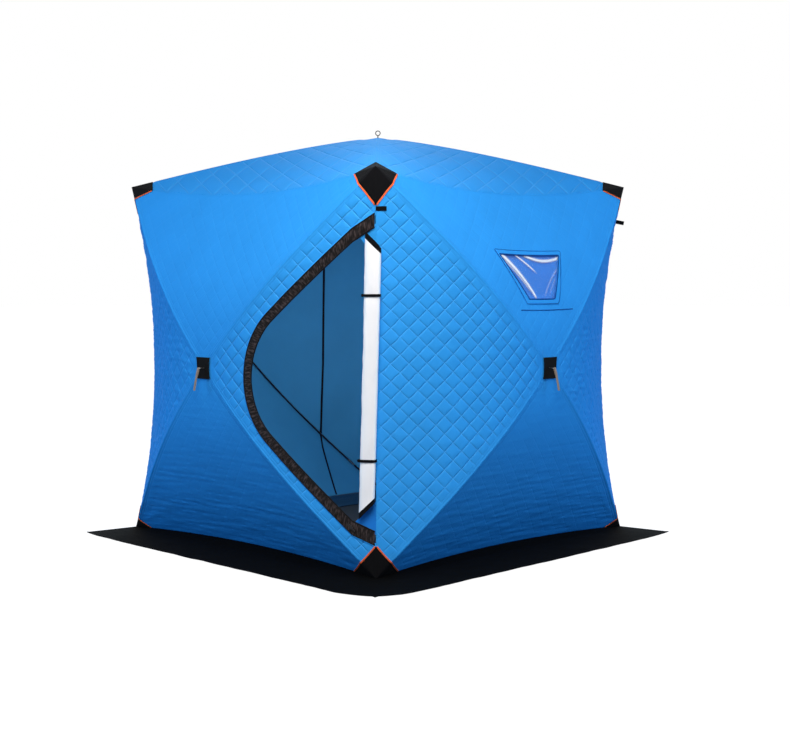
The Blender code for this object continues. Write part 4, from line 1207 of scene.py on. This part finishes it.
# Hub patches and pull straps
PATCH_WIDTH = 0.10
PATCH_HEIGHT = 0.10
PATCH_WAIST = 0.10
PATCH_STAND = 0.0045
BRACKET_STAND = 0.028
BRACKET_RADIUS = 0.002
BRACKET_WIDTH = 0.018
STRAP_LENGTH = 0.105
STRAP_LEAN = 14  # degrees that the stiff webbing stands away from the wall
STRAP_WIDTH = 0.012
STRAP_CLOTH = 0.0014
STRAP_SWAY = 0.002
LOOP_STEPS = 12
LOOP_PINCH = 0.55  # how far the two runs of webbing come together
LOOP_PINCH_RUN = (0.2, 0.45)  # of its length, to where that starts and ends
PATCH_CLOTH = 0.002
PATCH_GAP = 0.0003
PATCH_RIM = 0.0008
PATCH_RIM_RUN = (0.004, 0.009)
BRACKET_BEND = 0.004
BRACKET_TURNS = (0.4, 0.8, 1.2)  # radians round a bend
BRACKET_SUNK = 0.001  # its feet in the patch


def patch_shape(panel):
    """The patch over a hub, drawn in at its waist and turned under along its edge."""

    def place(x, y):
        high = 2 * y - 1
        wide = PATCH_WIDTH * (1 - PATCH_WAIST * (1 - high**2))
        a, b = (x - 0.5) * wide, high * PATCH_HEIGHT / 2
        rim = min(min(x, 1 - x) * PATCH_WIDTH, min(y, 1 - y) * PATCH_HEIGHT)
        stand = PATCH_STAND + PATCH_RIM * (1 - smooth(*PATCH_RIM_RUN, rim))
        return panel.surface(a, b, stand)

    return thicken(mapped_sheet(24, 28, place), PATCH_CLOTH)


def bracket_bar(panel):
    """The middle of the bar that a pull strap hangs on."""
    return panel.surface(0, 0, PATCH_GAP + PATCH_CLOTH + BRACKET_STAND)


def bracket_shape(panel):
    """The wire bracket that stands on a patch."""
    half = BRACKET_WIDTH / 2
    bend = BRACKET_BEND
    foot = PATCH_STAND - BRACKET_SUNK - BRACKET_STAND - PATCH_GAP - PATCH_CLOTH
    flat = [(-half, foot), (-half, -bend)]
    flat += [(-half + bend - bend * math.cos(t), -bend + bend * math.sin(t)) for t in BRACKET_TURNS]
    flat += [(-half + bend, 0)]
    flat += [(-x, y) for x, y in reversed(flat)]
    bar = bracket_bar(panel)
    line = [bar + panel.across * x + panel.normal * y for x, y in flat]
    return tube(line, BRACKET_RADIUS, 10, 60, panel.up)


def loop_shape(middle, across, down, out, length, width, radius, cloth, sway):
    """Webbing that runs up, round a bar or a fold, and back down."""
    turns = [math.pi * k / 10 for k in range(11)]
    half = radius + cloth / 2
    runs = [length * k / LOOP_STEPS for k in range(1, LOOP_STEPS + 1)]
    line = [(run, half) for run in reversed(runs)]
    line += [(-half * math.sin(t), half * math.cos(t)) for t in turns]
    line += [(run, -half) for run in runs]

    def place(x, y):
        index = round(y * (len(line) - 1))
        along, away = line[index]
        drop = max(along, 0)
        pinch = 1 - LOOP_PINCH * smooth(*(share * length for share in LOOP_PINCH_RUN), drop)
        swing = sway * math.sin(math.pi * drop / length)
        return middle + down * along + out * (away * pinch + swing) + across * (x - 0.5) * width

    return thicken(mapped_sheet(4, len(line) - 1, place), cloth)[0]


class SHELTER_OT_patches(bpy.types.Operator):
    """Hub patches, their wire brackets and the pull straps"""

    bl_idname = "shelter.patches"
    bl_label = "Hub patches and pull straps"

    def execute(self, context):
        for name, panel in WALLS.items():
            bm, area = patch_shape(panel)
            hub = panel.hub_body
            patch = f"hub_patch_{name}"
            piece = make_piece(f"{patch}_cloth", bm, "webbing", 50, hub, patch)
            make_piece(f"hub_bracket_{name}", bracket_shape(panel), "steel", None, hub)
            hole = BRACKET_RADIUS + PIN_CLEARANCE
            lean = Matrix.Rotation(math.radians(-STRAP_LEAN), 3, panel.across)
            ways = (panel.across, lean @ -panel.up, lean @ panel.normal)
            sizes = (STRAP_LENGTH, STRAP_WIDTH, hole, STRAP_CLOTH, STRAP_SWAY)
            bm = loop_shape(bracket_bar(panel), *ways, *sizes)
            strap = f"pull_strap_{name}"
            make_piece(f"{strap}_webbing", bm, "strap", 50, f"{strap}_body", strap)
        set_finish("roof_eye", "slider")
        return {"FINISHED"}


# Door band, rolled flap and ties
BAND_LAP = 0.008
BAND_STAND = 0.0035
BAND_CLOTH = 0.0016
BAND_FOLDS = 0.0040
BAND_PUFF = 0.003
BAND_TRIM = 0.02  # share left off the end pieces of the zip's line
BAND_CROWN = 0.7  # power of the curve across it
BAND_PUCKERS = ((1.0, 150, 1.5, 2), (0.7, 60, 3, 8))  # share, folds along and across, and seed
# Cords along the door: from the opening's edge inwards, out from the cloth, radius and finish
DOOR_CORDS = {
    "door_bound_edge": (-BAND_LAP - 0.001, 0.0022, 0.0026, "plain"),
    "door_band_edge": (-BAND_LAP + 0.003, BAND_STAND + 0.0012, 0.0028, "coil"),
    "door_zip_coil": (BAND_WIDTH - 0.002, BAND_STAND + 0.001, 0.0034, "coil"),
}
DOOR_CORD_RINGS = 200
FLAP_TOP = 1.468
FLAP_BOTTOM = 0.288
FLAP_WIDTH = 0.075
FLAP_TOP_ASIDE = 0.008  # middle of the roll from the seam
FLAP_BOTTOM_ASIDE = 0.039
FLAP_THICKNESS = 0.044
FLAP_TOP_SLANT = 0.075
FLAP_BOTTOM_SLANT = 0.073
FLAP_SEAT = 0.0004
FLAP_TURNS = 2.2
FLAP_OUTSIDE = 0.97  # of its width and thickness, for the outer turn
FLAP_WOUND = 0.42  # less by this at its inner end
FLAP_CLOTH = 0.0014
FLAP_FOLD_START = (0, 0.1)  # along the roll from its outer edge
FLAP_FOLDS = ((0.05, 1.6, 5), (0.05, 3, 16), (0.035, 5, 40))  # depth, and folds around and up
TIE_PINCH = 0.14  # share of the thickness that a tie takes up
TIE_REACH = 0.035
FLAP_FLATNESS = 0.75  # below 1 for a roll pressed flat
FLAP_TAPE = 0.018  # black tape at each end, as a share of the length
TIE_HEIGHTS = {"upper": 1.228, "lower": 0.508}
TIE_WIDTH = 0.012
TIE_THICKNESS = 0.002
TIE_GROW = 0.0029
TIE_START = 0.81  # of a turn round the roll
TIE_ARC = 0.88
KNOT_TURN = 0.46
KNOT_RADIUS = 0.0035
KNOT_SWELL = 0.003
GUSSET_CLOTH = 0.0012
GUSSET_LAP = 0.012  # under the zip band
GUSSET_GAP = 0.0015
GUSSET_SEAT = 0.001  # behind the outer cloth
GUSSET_SLACK = 0.003
GUSSETS = {"upper": (0.075, 1.385), "lower": (0.10, 0.33)}  # reach along the zip, and height at the seam


def band_line(panel, inset):
    """Points along the door's edge, closer together than its outline."""
    outline = door_outline(panel, inset)
    first = outline[0].lerp(outline[1], BAND_TRIM)
    last = outline[-1].lerp(outline[-2], BAND_TRIM)
    return path_steps([first, *outline[1:-1], last], BAND_STEPS)


def band_shape(panel):
    """The storm strip along the zip, puckered across its width."""
    edges = [band_line(panel, -BAND_LAP), band_line(panel, BAND_WIDTH)]

    def place(x, y):
        index = round(y * BAND_STEPS)
        flat = edges[0][index].lerp(edges[1][index], x)
        pucker = sum(share * waver(y * along, x * across, k) for share, along, across, k in BAND_PUCKERS)
        stand = BAND_STAND + max(BAND_FOLDS * pucker + BAND_PUFF, 0) * math.sin(math.pi * x) ** BAND_CROWN
        return panel.surface(*flat, stand)

    return thicken(mapped_sheet(10, BAND_STEPS, place), BAND_CLOTH)


def flap_point(height, inward, out):
    """A point beside the door's upright seam: along the wall from the seam, and out from it."""
    panel = WALLS["front"]
    b = panel.level(height)
    seam = panel.surface(HALF, b)
    along = panel.surface(HALF - FLAP_WIDTH, b) - seam
    along.z = 0
    along.normalize()
    return seam + along * inward + Z.cross(along) * out


def rolled(height, slant, turn, scale, grow=0.0):
    """A point round the rolled flap, which is pressed flat and drawn in where it is tied."""
    share = (height - FLAP_BOTTOM) / (FLAP_TOP - FLAP_BOTTOM)
    middle = FLAP_BOTTOM_ASIDE + (FLAP_TOP_ASIDE - FLAP_BOTTOM_ASIDE) * share
    tied = max(math.exp(-(((height - at) / TIE_REACH) ** 2)) for at in TIE_HEIGHTS.values())
    across, up = (math.copysign(abs(c) ** FLAP_FLATNESS, c) for c in (math.cos(turn), math.sin(turn)))
    aside = -(FLAP_WIDTH / 2 * scale + grow) * across
    half = FLAP_THICKNESS / 2
    out = FLAP_SEAT + half + (half * (1 - TIE_PINCH * tied) * scale + grow) * up
    return flap_point(height + slant * aside / FLAP_WIDTH, middle + aside, out)


def flap_shape():
    """The door's cloth rolled up along its seam, with its slanted ends bound in black tape."""

    def place(x, y):
        turn = math.tau * FLAP_TURNS * x
        height = FLAP_BOTTOM + (FLAP_TOP - FLAP_BOTTOM) * y
        around = Vector((math.cos(turn), math.sin(turn)))
        fold = sum(deep * waver(*(around * k), height * up) for deep, k, up in FLAP_FOLDS)
        slant = FLAP_TOP_SLANT * y - FLAP_BOTTOM_SLANT * (1 - y)
        return rolled(height, slant, turn, FLAP_OUTSIDE - FLAP_WOUND * x + fold * smooth(*FLAP_FOLD_START, x))

    bm = mapped_sheet(96, 140, place)
    uv = bm.loops.layers.uv["weave"]
    for face in bm.faces:
        along = sum(loop[uv].uv.y for loop in face.loops) / len(face.loops)
        face.material_index = 1 if min(along, 1 - along) < FLAP_TAPE else 0
    return thicken(bm, FLAP_CLOTH)


def tie_shape(height):
    """A strap round the rolled flap, open behind it at the seam that it is sewn to."""

    def place(x, y):
        turn = math.tau * (TIE_START + TIE_ARC * x)
        return rolled(height + (y - 0.5) * TIE_WIDTH, 0, turn, 1, TIE_GROW)

    return thicken(mapped_sheet(48, 4, place), TIE_THICKNESS)[0]


def toggle_shape(height):
    """The knot of a tie, at the side of the roll."""
    half = TIE_WIDTH / 2
    ends = [rolled(height + up, 0, math.tau * KNOT_TURN, 1, TIE_GROW) for up in (-half, half)]
    return tube(ends, lambda share: KNOT_RADIUS + KNOT_SWELL * math.sin(math.pi * share), 12, 8, X)


def gusset_shape(end):
    """The corner of the door's cloth that isn't rolled up, between the zip, the seam and the roll."""
    panel = WALLS["front"]
    reach, height = GUSSETS[end]
    outline = door_outline(panel, BAND_WIDTH - GUSSET_LAP)
    first, second = (outline[0], outline[1]) if end == "upper" else (outline[-1], outline[-2])
    far = first.lerp(second, reach / DOOR_END)
    seam = Vector((HALF - GUSSET_GAP, panel.level(height)))

    def place(x, y):
        flat = seam.lerp(first.lerp(far, x), y)
        slack = math.sin(math.pi * x) * math.sin(math.pi * y)
        return panel.surface(*flat, -GUSSET_SEAT - GUSSET_SLACK * slack)

    return thicken(mapped_sheet(12, 12, place), GUSSET_CLOTH)


class SHELTER_OT_door(bpy.types.Operator):
    """Zip band, its coil and bound edge, the rolled flap and its ties"""

    bl_idname = "shelter.door"
    bl_label = "Door"

    def execute(self, context):
        panel = WALLS["front"]
        follow = (panel, WAYS["right"])
        bm, area = band_shape(panel)
        band = make_piece("door_zip_band_tape", bm, "tape", 60, follow, "door_zip_band")
        for name, (inset, stand, radius, finish) in DOOR_CORDS.items():
            bm = panel.cord(band_line(panel, inset), stand, radius, DOOR_CORD_RINGS)
            make_piece(name, bm, finish, None, follow)
        bm, area = flap_shape()
        flap = make_piece("door_flap_roll", bm, "white webbing", 50, node="door_flap")
        for name, height in TIE_HEIGHTS.items():
            tie = f"door_tie_{name}"
            make_piece(f"{tie}_elastic", tie_shape(height), "webbing", 50, node=tie)
            make_piece(f"{tie}_knot", toggle_shape(height), "webbing", 50)
            bm, area = gusset_shape(name)
            # The lower gusset is painted darker as shade; the upper one keeps the plain cloth
            finish = "plain" if name == "upper" else "painted_shade_cloth"
            gusset = make_piece(f"door_gusset_{name}", bm, finish, 50)
        set_finish("zip_slider", "slider")
        return {"FINISHED"}


# Window
FILM = 0.001
FILM_SEAT = -0.002  # its stitched edge, from the outer cloth
FILM_SLACK = 0.002
FILM_CREASE = 0.003
FACING_STAND = 0.0032
FACING_CLOTH = 0.0014
FACING_ROWS = (0.15, 0.82)  # of its width, to its rows of stitching
FACING_STITCH = 0.06  # a row's width, drawn wide enough to show
FACING_SUNK = 0.0012
COVER_CLOTH = 0.001
COVER_GAP = 0.0006
COVER_SLACK = 0.002
COVER_EDGE = (0, 0.12)  # share of its width over which it sinks
FACING_WIDTH = 0.022
FACING_LAP = 0.002
FACING_SEAM_INSET = 0.001
WINDOW_EDGE_RADIUS = 0.0028
WINDOW_FACING_RADIUS = 0.0013
WINDOW_POCKET_RADIUS = 0.0022
WINDOW_POCKET_STAND = 0.001
COVER_DEPTH = 0.010  # cover cloth behind the middle of the film
POCKET_LINE = (1.163, -0.18, 0.20)  # height of the pocket seam below the window, and its two ends


def film_glare(x, y):
    """How far the film stands up in a crease and takes a painted white glint there, from 0 to 1."""
    down = 1 - y
    # Strength, distance from the crease to its width, and where along it the crease shows
    folds = (
        (1.0, (x - 0.05 - 0.28 * down) / 0.030, smooth(0.0, 0.1, y)),
        (0.45, (x + 0.01 - 0.27 * down) / 0.012, smooth(0.1, 0.3, y)),
        (0.8, (x - 0.27 - 0.65 * down) / 0.016, smooth(0.55, 0.72, y)),
        (1.0, (y - 0.86 - 1.1 * (x - 0.76) ** 2) / 0.026, smooth(0.34, 0.5, x)),
        (0.16, (x - 0.62 - 0.55 * y) / 0.02, smooth(0.0, 0.2, y) * smooth(0.75, 0.6, y)),
        (0.12, (x - 0.78 - 0.40 * y) / 0.015, smooth(0.05, 0.2, y) * smooth(0.5, 0.4, y)),
    )
    return max(most * math.exp(-(off**2)) * shown for most, off, shown in folds)


def across_window(corners, x, y):
    """A flat point in the window at shares across and up."""
    return corners[0].lerp(corners[1], x).lerp(corners[3].lerp(corners[2], x), y)


def window_shape(panel):
    """The clear sheet, slack and creased between its stitched edges."""
    hole = window_hole(panel)
    bm = bmesh.new()
    layer = bm.verts.layers.float.new("crease")
    made = bmesh.ops.create_grid(bm, x_segments=80, y_segments=64, size=0.5)
    for vert in made["verts"]:
        x, y = vert.co.x + 0.5, vert.co.y + 0.5
        flat = across_window(hole, x, y)
        free = math.sqrt(max(math.sin(math.pi * x) * math.sin(math.pi * y), 0))
        fold = waver(x * 2.2 + y * 1.5, y * 1.2 - x * 0.8, 3)
        vert[layer] = film_glare(x, y)
        stand = FILM_SEAT + (FILM_SLACK * fold + FILM_CREASE * vert[layer]) * free
        vert.co = panel.surface(*flat, stand)
    return thicken(bm, FILM)[0]


def window_cover_shape(panel):
    """The cloth that is closed behind the film."""
    rim = window_hole(panel, FACING_LAP)

    def place(x, y):
        flat = across_window(rim, x, y)
        free = smooth(*COVER_EDGE, min(x, 1 - x, y, 1 - y))
        sunk = COVER_DEPTH - FABRIC + COVER_SLACK * waver(x * 4, y * 3, 9)
        return panel.surface(*flat, -FABRIC - COVER_GAP - sunk * free)

    return thicken(mapped_sheet(40, 32, place), COVER_CLOTH)


def window_facing_shape(panel):
    """The plain facing that holds the clear sheet, with a row of stitching near each edge."""
    rims = [ring + ring[:1] for ring in (window_hole(panel, -FACING_LAP), window_hole(panel, FACING_WIDTH))]

    def place(x, y):
        side = min(int(x * 4), 3)
        share = x * 4 - side
        near, far = (rim[side].lerp(rim[side + 1], share) for rim in rims)
        flat = near.lerp(far, y)
        stitch = sum(math.exp(-(((y - row) / FACING_STITCH) ** 2)) for row in FACING_ROWS)
        return panel.surface(*flat, FACING_STAND - FACING_SUNK * stitch)

    return thicken(mapped_sheet(96, 14, place), FACING_CLOTH)


class SHELTER_OT_window(bpy.types.Operator):
    """Clear window, its facing and the pocket seam below it"""

    bl_idname = "shelter.window"
    bl_label = "Window"

    def execute(self, context):
        panel = WALLS["right"]
        follow = (panel, WAYS["top"])
        film = window_shape(panel)
        make_piece("window_film_sheet", film, "vinyl", None, follow, "window_film")
        # The window's cover is painted darker as shade, besides being set back behind the film
        for name, finish, wide, shape in (
            ("window_facing", "plain", FACING_WIDTH + FACING_LAP, window_facing_shape),
            ("window_cover", "painted_shade_cloth", WINDOW_TOP_WIDTH, window_cover_shape),
        ):
            bm, area = shape(panel)
            piece = make_piece(name, bm, finish, 50, follow)
        edge, outer = (window_hole(panel, grow) for grow in (-FACING_LAP, FACING_WIDTH - FACING_SEAM_INSET))
        height, *ends = POCKET_LINE
        pocket = [Vector((end, panel.level(height))) for end in ends]
        # Dark cords round and below the window: stitching, with painted shade of the gap round the film and
        # of the pocket's fold
        for name, line, stand, radius, steps in (
            ("window_edge_seam", edge + edge[:1], FACING_STAND, WINDOW_EDGE_RADIUS, 80),
            ("window_facing_seam", outer + outer[:1], FACING_STAND, WINDOW_FACING_RADIUS, 80),
            ("window_pocket_seam", pocket, WINDOW_POCKET_STAND, WINDOW_POCKET_RADIUS, 20),
        ):
            bm = panel.cord(path_steps(line, steps), stand, radius, 2 * steps)
            make_piece(name, bm, "seam", None, follow)
        return {"FINISHED"}


# Seams of the lining
LINING_SEAM_WIDTH = 0.012
LINING_SEAM_STAND = -0.0052  # behind the outer cloth
LINING_SEAM_RIDGE = -0.0008
# Flat points along the tape on each gore of the left wall
LINING_SEAMS = {
    ("left", "left"): ((-0.561, 0.50), (-0.555, -0.07), (-0.537, -0.529)),
    ("left", "bottom"): (
        (-0.537, -0.529),
        (-0.522, -0.60),
        (-0.510, -0.738),
        (-0.499, -0.838),
        (-0.495, -0.882),
    ),
}


class SHELTER_OT_lining(bpy.types.Operator):
    """Black tape over the seam inside the left wall"""

    bl_idname = "shelter.lining"
    bl_label = "Lining seam"

    def execute(self, context):
        for (name, side), points in LINING_SEAMS.items():
            panel = WALLS[name]
            line = [Vector(point) for point in points]
            follow = (panel, WAYS[side])
            bm, area = ribbon(panel, line, LINING_SEAM_WIDTH, LINING_SEAM_STAND, LINING_SEAM_RIDGE, 48)
            tape = make_piece(f"lining_seam_{name}_{side}", bm, "webbing", None, follow)
        return {"FINISHED"}


# Guy tabs
TAB_HEIGHT = 1.60
TAB_LENGTH = 0.045
TAB_WIDTH = 0.020
TAB_THICKNESS = 0.0025
TAB_CLOTH = 0.0011
TAB_FOLD = 0.0004  # inner radius
TAB_GAP = 0.0006
TAB_SEWN_IN = 0.002  # drawn into the seam
DOOR_TAB_SEWN_IN = 0.024
# Degrees from straight out
TAB_LEANS = {"front_right": 95, "front_left": -95, "back_right": 0, "back_left": 95}


class SHELTER_OT_tabs(bpy.types.Operator):
    """Folded webbing tabs on the upright seams"""

    bl_idname = "shelter.tabs"
    bl_label = "Guy tabs"

    def execute(self, context):
        for name, corner in CORNERS.items():
            walls = walls_at(corner)
            panel, right = walls[0]
            b = panel.level(TAB_HEIGHT)
            a = right * panel.size.x
            seam = panel.surface(a, b)
            along = (panel.surface(a, b + TAB_WIDTH) - panel.surface(a, b - TAB_WIDTH)).normalized()
            straight = (corner - along * corner.dot(along)).normalized()
            outward = Matrix.Rotation(math.radians(TAB_LEANS[name]), 3, along) @ straight
            inset = TAB_WIDTH / panel.size.y
            beside = [near.surface(side * near.size.x * (1 - inset), b) - seam for near, side in walls]
            clear = min(outward.angle(way) for way in beside)
            start = max(TAB_THICKNESS / 2 / math.tan(clear), 0) + TAB_GAP / math.sin(clear)
            reach = start + TAB_LENGTH - (DOOR_TAB_SEWN_IN if name == DOOR_CORNER else TAB_SEWN_IN)
            fold = seam + outward * reach
            ways = (along, -outward, along.cross(outward))
            bm = loop_shape(fold, *ways, reach, TAB_WIDTH, TAB_FOLD, TAB_CLOTH, 0.0)
            tab = f"guy_tab_{name}"
            make_piece(f"{tab}_webbing", bm, "webbing", 50, node=tab)
        return {"FINISHED"}


class ShelterSizes(bpy.types.PropertyGroup):
    """Sizes of the shelter's looks"""

    quilt_pitch: FloatProperty(
        name="Wall pitch", description="Between rows of stitches on the walls", default=0.0560, unit="LENGTH"
    )
    roof_pitch: FloatProperty(
        name="Roof pitch", description="Between rows of stitches on the roof", default=0.118, unit="LENGTH"
    )
    quilt_depth: FloatProperty(
        name="Depth", description="Height of the wadding between stitches", default=0.0030, unit="LENGTH"
    )


class ShelterColours(bpy.types.PropertyGroup):
    """Colours of the shelter, as sRGB hex"""

    cloth: StringProperty(name="Cloth", description="Outer quilted cloth", default="#2D97EA")
    # A little paler than the cloth: a painted highlight along the stitching
    stitch: StringProperty(name="Stitching", description="Outer cloth along its stitching", default="#3C9FEE")
    # Partly thread and partly painted shade of folds and gaps
    seam: StringProperty(name="Seams", description="Thread and folds of the outer cloth", default="#14509A")
    # Painted shade: the outer cloth darkened for the window's cover and the door's lower gusset
    painted_shade_cloth: StringProperty(name="Covers", description="Cloth behind window and door", default="#1C78D8")
    lining: StringProperty(name="Lining", description="Inside of the walls and roof", default="#337FB0")
    white: StringProperty(name="White lining", description="Back of the door", default="#E8EFF8")
    skirt: StringProperty(name="Skirt", description="Cloth on the ground", default="#010203")
    skirt_back: StringProperty(name="Skirt back", description="Coated back of that cloth", default="#0C3450")
    black: StringProperty(name="Webbing", description="Corners, patches, ties and tabs", default="#090A0D")
    strap: StringProperty(name="Pull straps", description="Webbing that pulls a hub out", default="#8A7B6E")
    binding: StringProperty(name="Binding", description="Edge of the corners", default="#EE6428")
    tape: StringProperty(name="Storm tape", description="Band along the door's zip", default="#100E0F")
    # Painted highlight on the ridges of the storm tape's puckers
    tape_painted_highlight: StringProperty(name="Ridges", description="That band where it is rubbed", default="#4A4244")
    rod: StringProperty(name="Poles", description="Fibreglass poles", default="#15151A")
    steel: StringProperty(name="Steel", description="Ferrules and brackets", default="#8E9094")
    slider: StringProperty(name="Slider", description="Zip slider and roof eye", default="#2C2C2F")
    vinyl: StringProperty(name="Window", description="Clear window sheet", default="#F2F8FF")


# Camera and stage
LENS = 61.70
CAMERA_PLACE = MIDDLE + Vector((5.0422, -4.9635, 1.2811))
CAMERA_TURN = (90 - 3.9005, 0, 45 - 0.2662)  # degrees
FLOOR = "#6E6E70"
FLOOR_PAINTED_SHADE = "#20282E"  # painted shade on the ground inside the shelter
INSIDE_EDGE = (0.80, 0.92)  # from the middle to where the one goes over into the other
FLOOR_GLOW = 0.95
FLOOR_HALF = 60
FLOOR_GAP = 0.0005  # below the skirt
WHITE = (1, 1, 1)
COOL_FILL = (0.06, 0.11, 0.19)
SUN = (1.0, 0.89, 0.78)
SKY = (0.58, 0.80, 0.95)
SHADE = (0.22, 0.60, 1.0)
BEHIND = (0.48, 0.76, 1.0)
# Each lamp's watts, colour, size, place and target
LAMPS = {
    "key_light": (97, SUN, 2.0, (2.4, -2.4, 2.95), (0, 0, 1.0)),
    "door_light": (26, SUN, 1.2, (1.75, -1.75, 3.0), (0, 0, 1.0)),
    "left_fill": (47, SKY, 2.0, (-2.5, -4.5, 3.5), (0, 0, 1.0)),
    "right_fill": (47, SKY, 2.0, (4.5, 2.5, 3.5), (0, 0, 1.0)),
    "left_low_fill": (42, SHADE, 2.0, (-2.5, -4.0, 0.9), (0, 0, 0.6)),
    "right_low_fill": (42, SHADE, 2.0, (4.0, 2.5, 0.9), (0, 0, 0.6)),
    "back_fill": (140, BEHIND, 2.5, (-3.2, 3.2, 3.4), (0, 0, 1.0)),
    "inside_fill": (17, WHITE, 1.0, (0.45, -0.45, 1.0), (-1.0, 1.0, 1.25)),
}


def seen_straight(tree):
    """1 for what the camera sees, also in metal and through the window, and 0 for light on the shelter."""
    rays = add_node(tree, "LightPath", output=None)
    seen = rays["Is Camera Ray"]
    for other in ("Is Glossy Ray", "Is Transmission Ray"):
        seen = add_node(tree, "Math", {"operation": "MAXIMUM"}, {0: seen, 1: rays[other]})
    return seen


def add_floor():
    """White floor as the camera sees it, which takes light as pale ground and has painted shade inside the
    shelter.
    """
    bm = bmesh.new()
    bmesh.ops.create_grid(bm, x_segments=1, y_segments=1, size=FLOOR_HALF)
    bmesh.ops.translate(bm, vec=(0, 0, -FLOOR_GAP), verts=bm.verts)
    mesh = bpy.data.meshes.new("floor")
    bm.to_mesh(mesh)
    bm.free()
    made, tree, shader = start_material("pale_studio_floor", FLOOR, 0.9)
    spot = add_node(tree, "TexCoord", output="Object")
    apart = add_node(tree, "VectorMath", {"operation": "ABSOLUTE"}, {0: spot})
    sides = add_node(tree, "SeparateXYZ", None, {"Vector": apart}, None)
    away = add_node(tree, "Math", {"operation": "MAXIMUM"}, {0: sides[0], 1: sides[1]})
    open_air = add_node(tree, "MapRange", dict(enumerate(INSIDE_EDGE, 1)), {0: away})
    glow = add_node(tree, "Math", {"operation": "MULTIPLY"}, {0: seen_straight(tree), 1: open_air})
    # Painted shade: the floor's colour goes dark inside the shelter
    grounds = {"data_type": "RGBA", 6: linear(FLOOR_PAINTED_SHADE), 7: linear(FLOOR)}
    shader["Emission Color"].default_value = (FLOOR_GLOW, FLOOR_GLOW, FLOOR_GLOW, 1)
    tree.links.new(add_node(tree, "Mix", grounds, {0: open_air}, 2), shader["Base Color"])
    tree.links.new(glow, shader["Emission Strength"])
    mesh.materials.append(made)
    add_object("floor", mesh)


class SHELTER_OT_stage(bpy.types.Operator):
    """Camera at the photograph's angle, pale floor, soft light"""

    bl_idname = "shelter.stage"
    bl_label = "Stage"

    def execute(self, context):
        scene = context.scene
        scene.view_settings.view_transform = "Standard"
        lens = bpy.data.cameras.new("camera")
        lens.sensor_width = 36.0
        lens.lens = LENS
        lens.clip_end = 200
        scene.camera = add_object("camera", lens)
        scene.camera.location = CAMERA_PLACE
        scene.camera.rotation_euler = [math.radians(turn) for turn in CAMERA_TURN]
        for name, (watts, colour, size, place, target) in LAMPS.items():
            light = bpy.data.lights.new(name, "AREA")
            light.energy = watts
            light.color = colour
            light.size = size
            lamp = add_object(name, light)
            lamp.location = place
            lamp.rotation_euler = (Vector(target) - Vector(place)).to_track_quat("-Z", "Y").to_euler()
            lamp.visible_camera = False

        world = bpy.data.worlds.new("studio")
        scene.world = world
        world.use_nodes = True
        tree = world.node_tree
        fill = {"data_type": "RGBA", 6: (*COOL_FILL, 1), 7: (*WHITE, 1)}
        colour = add_node(tree, "Mix", fill, {0: seen_straight(tree)}, 2)
        tree.links.new(colour, tree.nodes["Background"].inputs["Color"])
        add_floor()
        return {"FINISHED"}


class SHELTER_PT_panel(bpy.types.Panel):
    """Lists the shelter's pieces and settings"""

    bl_idname = "SHELTER_PT_panel"
    bl_label = "Ice shelter"
    bl_space_type = "VIEW_3D"
    bl_region_type = "UI"
    bl_category = "Shelter"

    def draw(self, context):
        layout = self.layout
        for operator in OPERATORS:
            layout.operator(operator.bl_idname)
        for group in (context.scene.shelter_sizes, context.scene.shelter_colours):
            for name in group.__annotations__:
                layout.prop(group, name)


OPERATORS = (
    SHELTER_OT_stage,
    SHELTER_OT_cloth,
    SHELTER_OT_skirt,
    SHELTER_OT_corners,
    SHELTER_OT_frame,
    SHELTER_OT_patches,
    SHELTER_OT_door,
    SHELTER_OT_window,
    SHELTER_OT_lining,
    SHELTER_OT_tabs,
)
CLASSES = (ShelterSizes, ShelterColours, *OPERATORS, SHELTER_PT_panel)


def register():
    for made in CLASSES:
        bpy.utils.register_class(made)
    bpy.types.Scene.shelter_sizes = PointerProperty(type=ShelterSizes)
    bpy.types.Scene.shelter_colours = PointerProperty(type=ShelterColours)


def unregister():
    del bpy.types.Scene.shelter_colours
    del bpy.types.Scene.shelter_sizes
    for made in reversed(CLASSES):
        bpy.utils.unregister_class(made)


def main():
    """Makes every piece."""
    register()
    FINISHES.update(make_finishes(bpy.context.scene.shelter_colours))
    for operator in OPERATORS:
        group, name = operator.bl_idname.split(".")
        getattr(getattr(bpy.ops, group), name)()


if __name__ == "__main__":
    main()
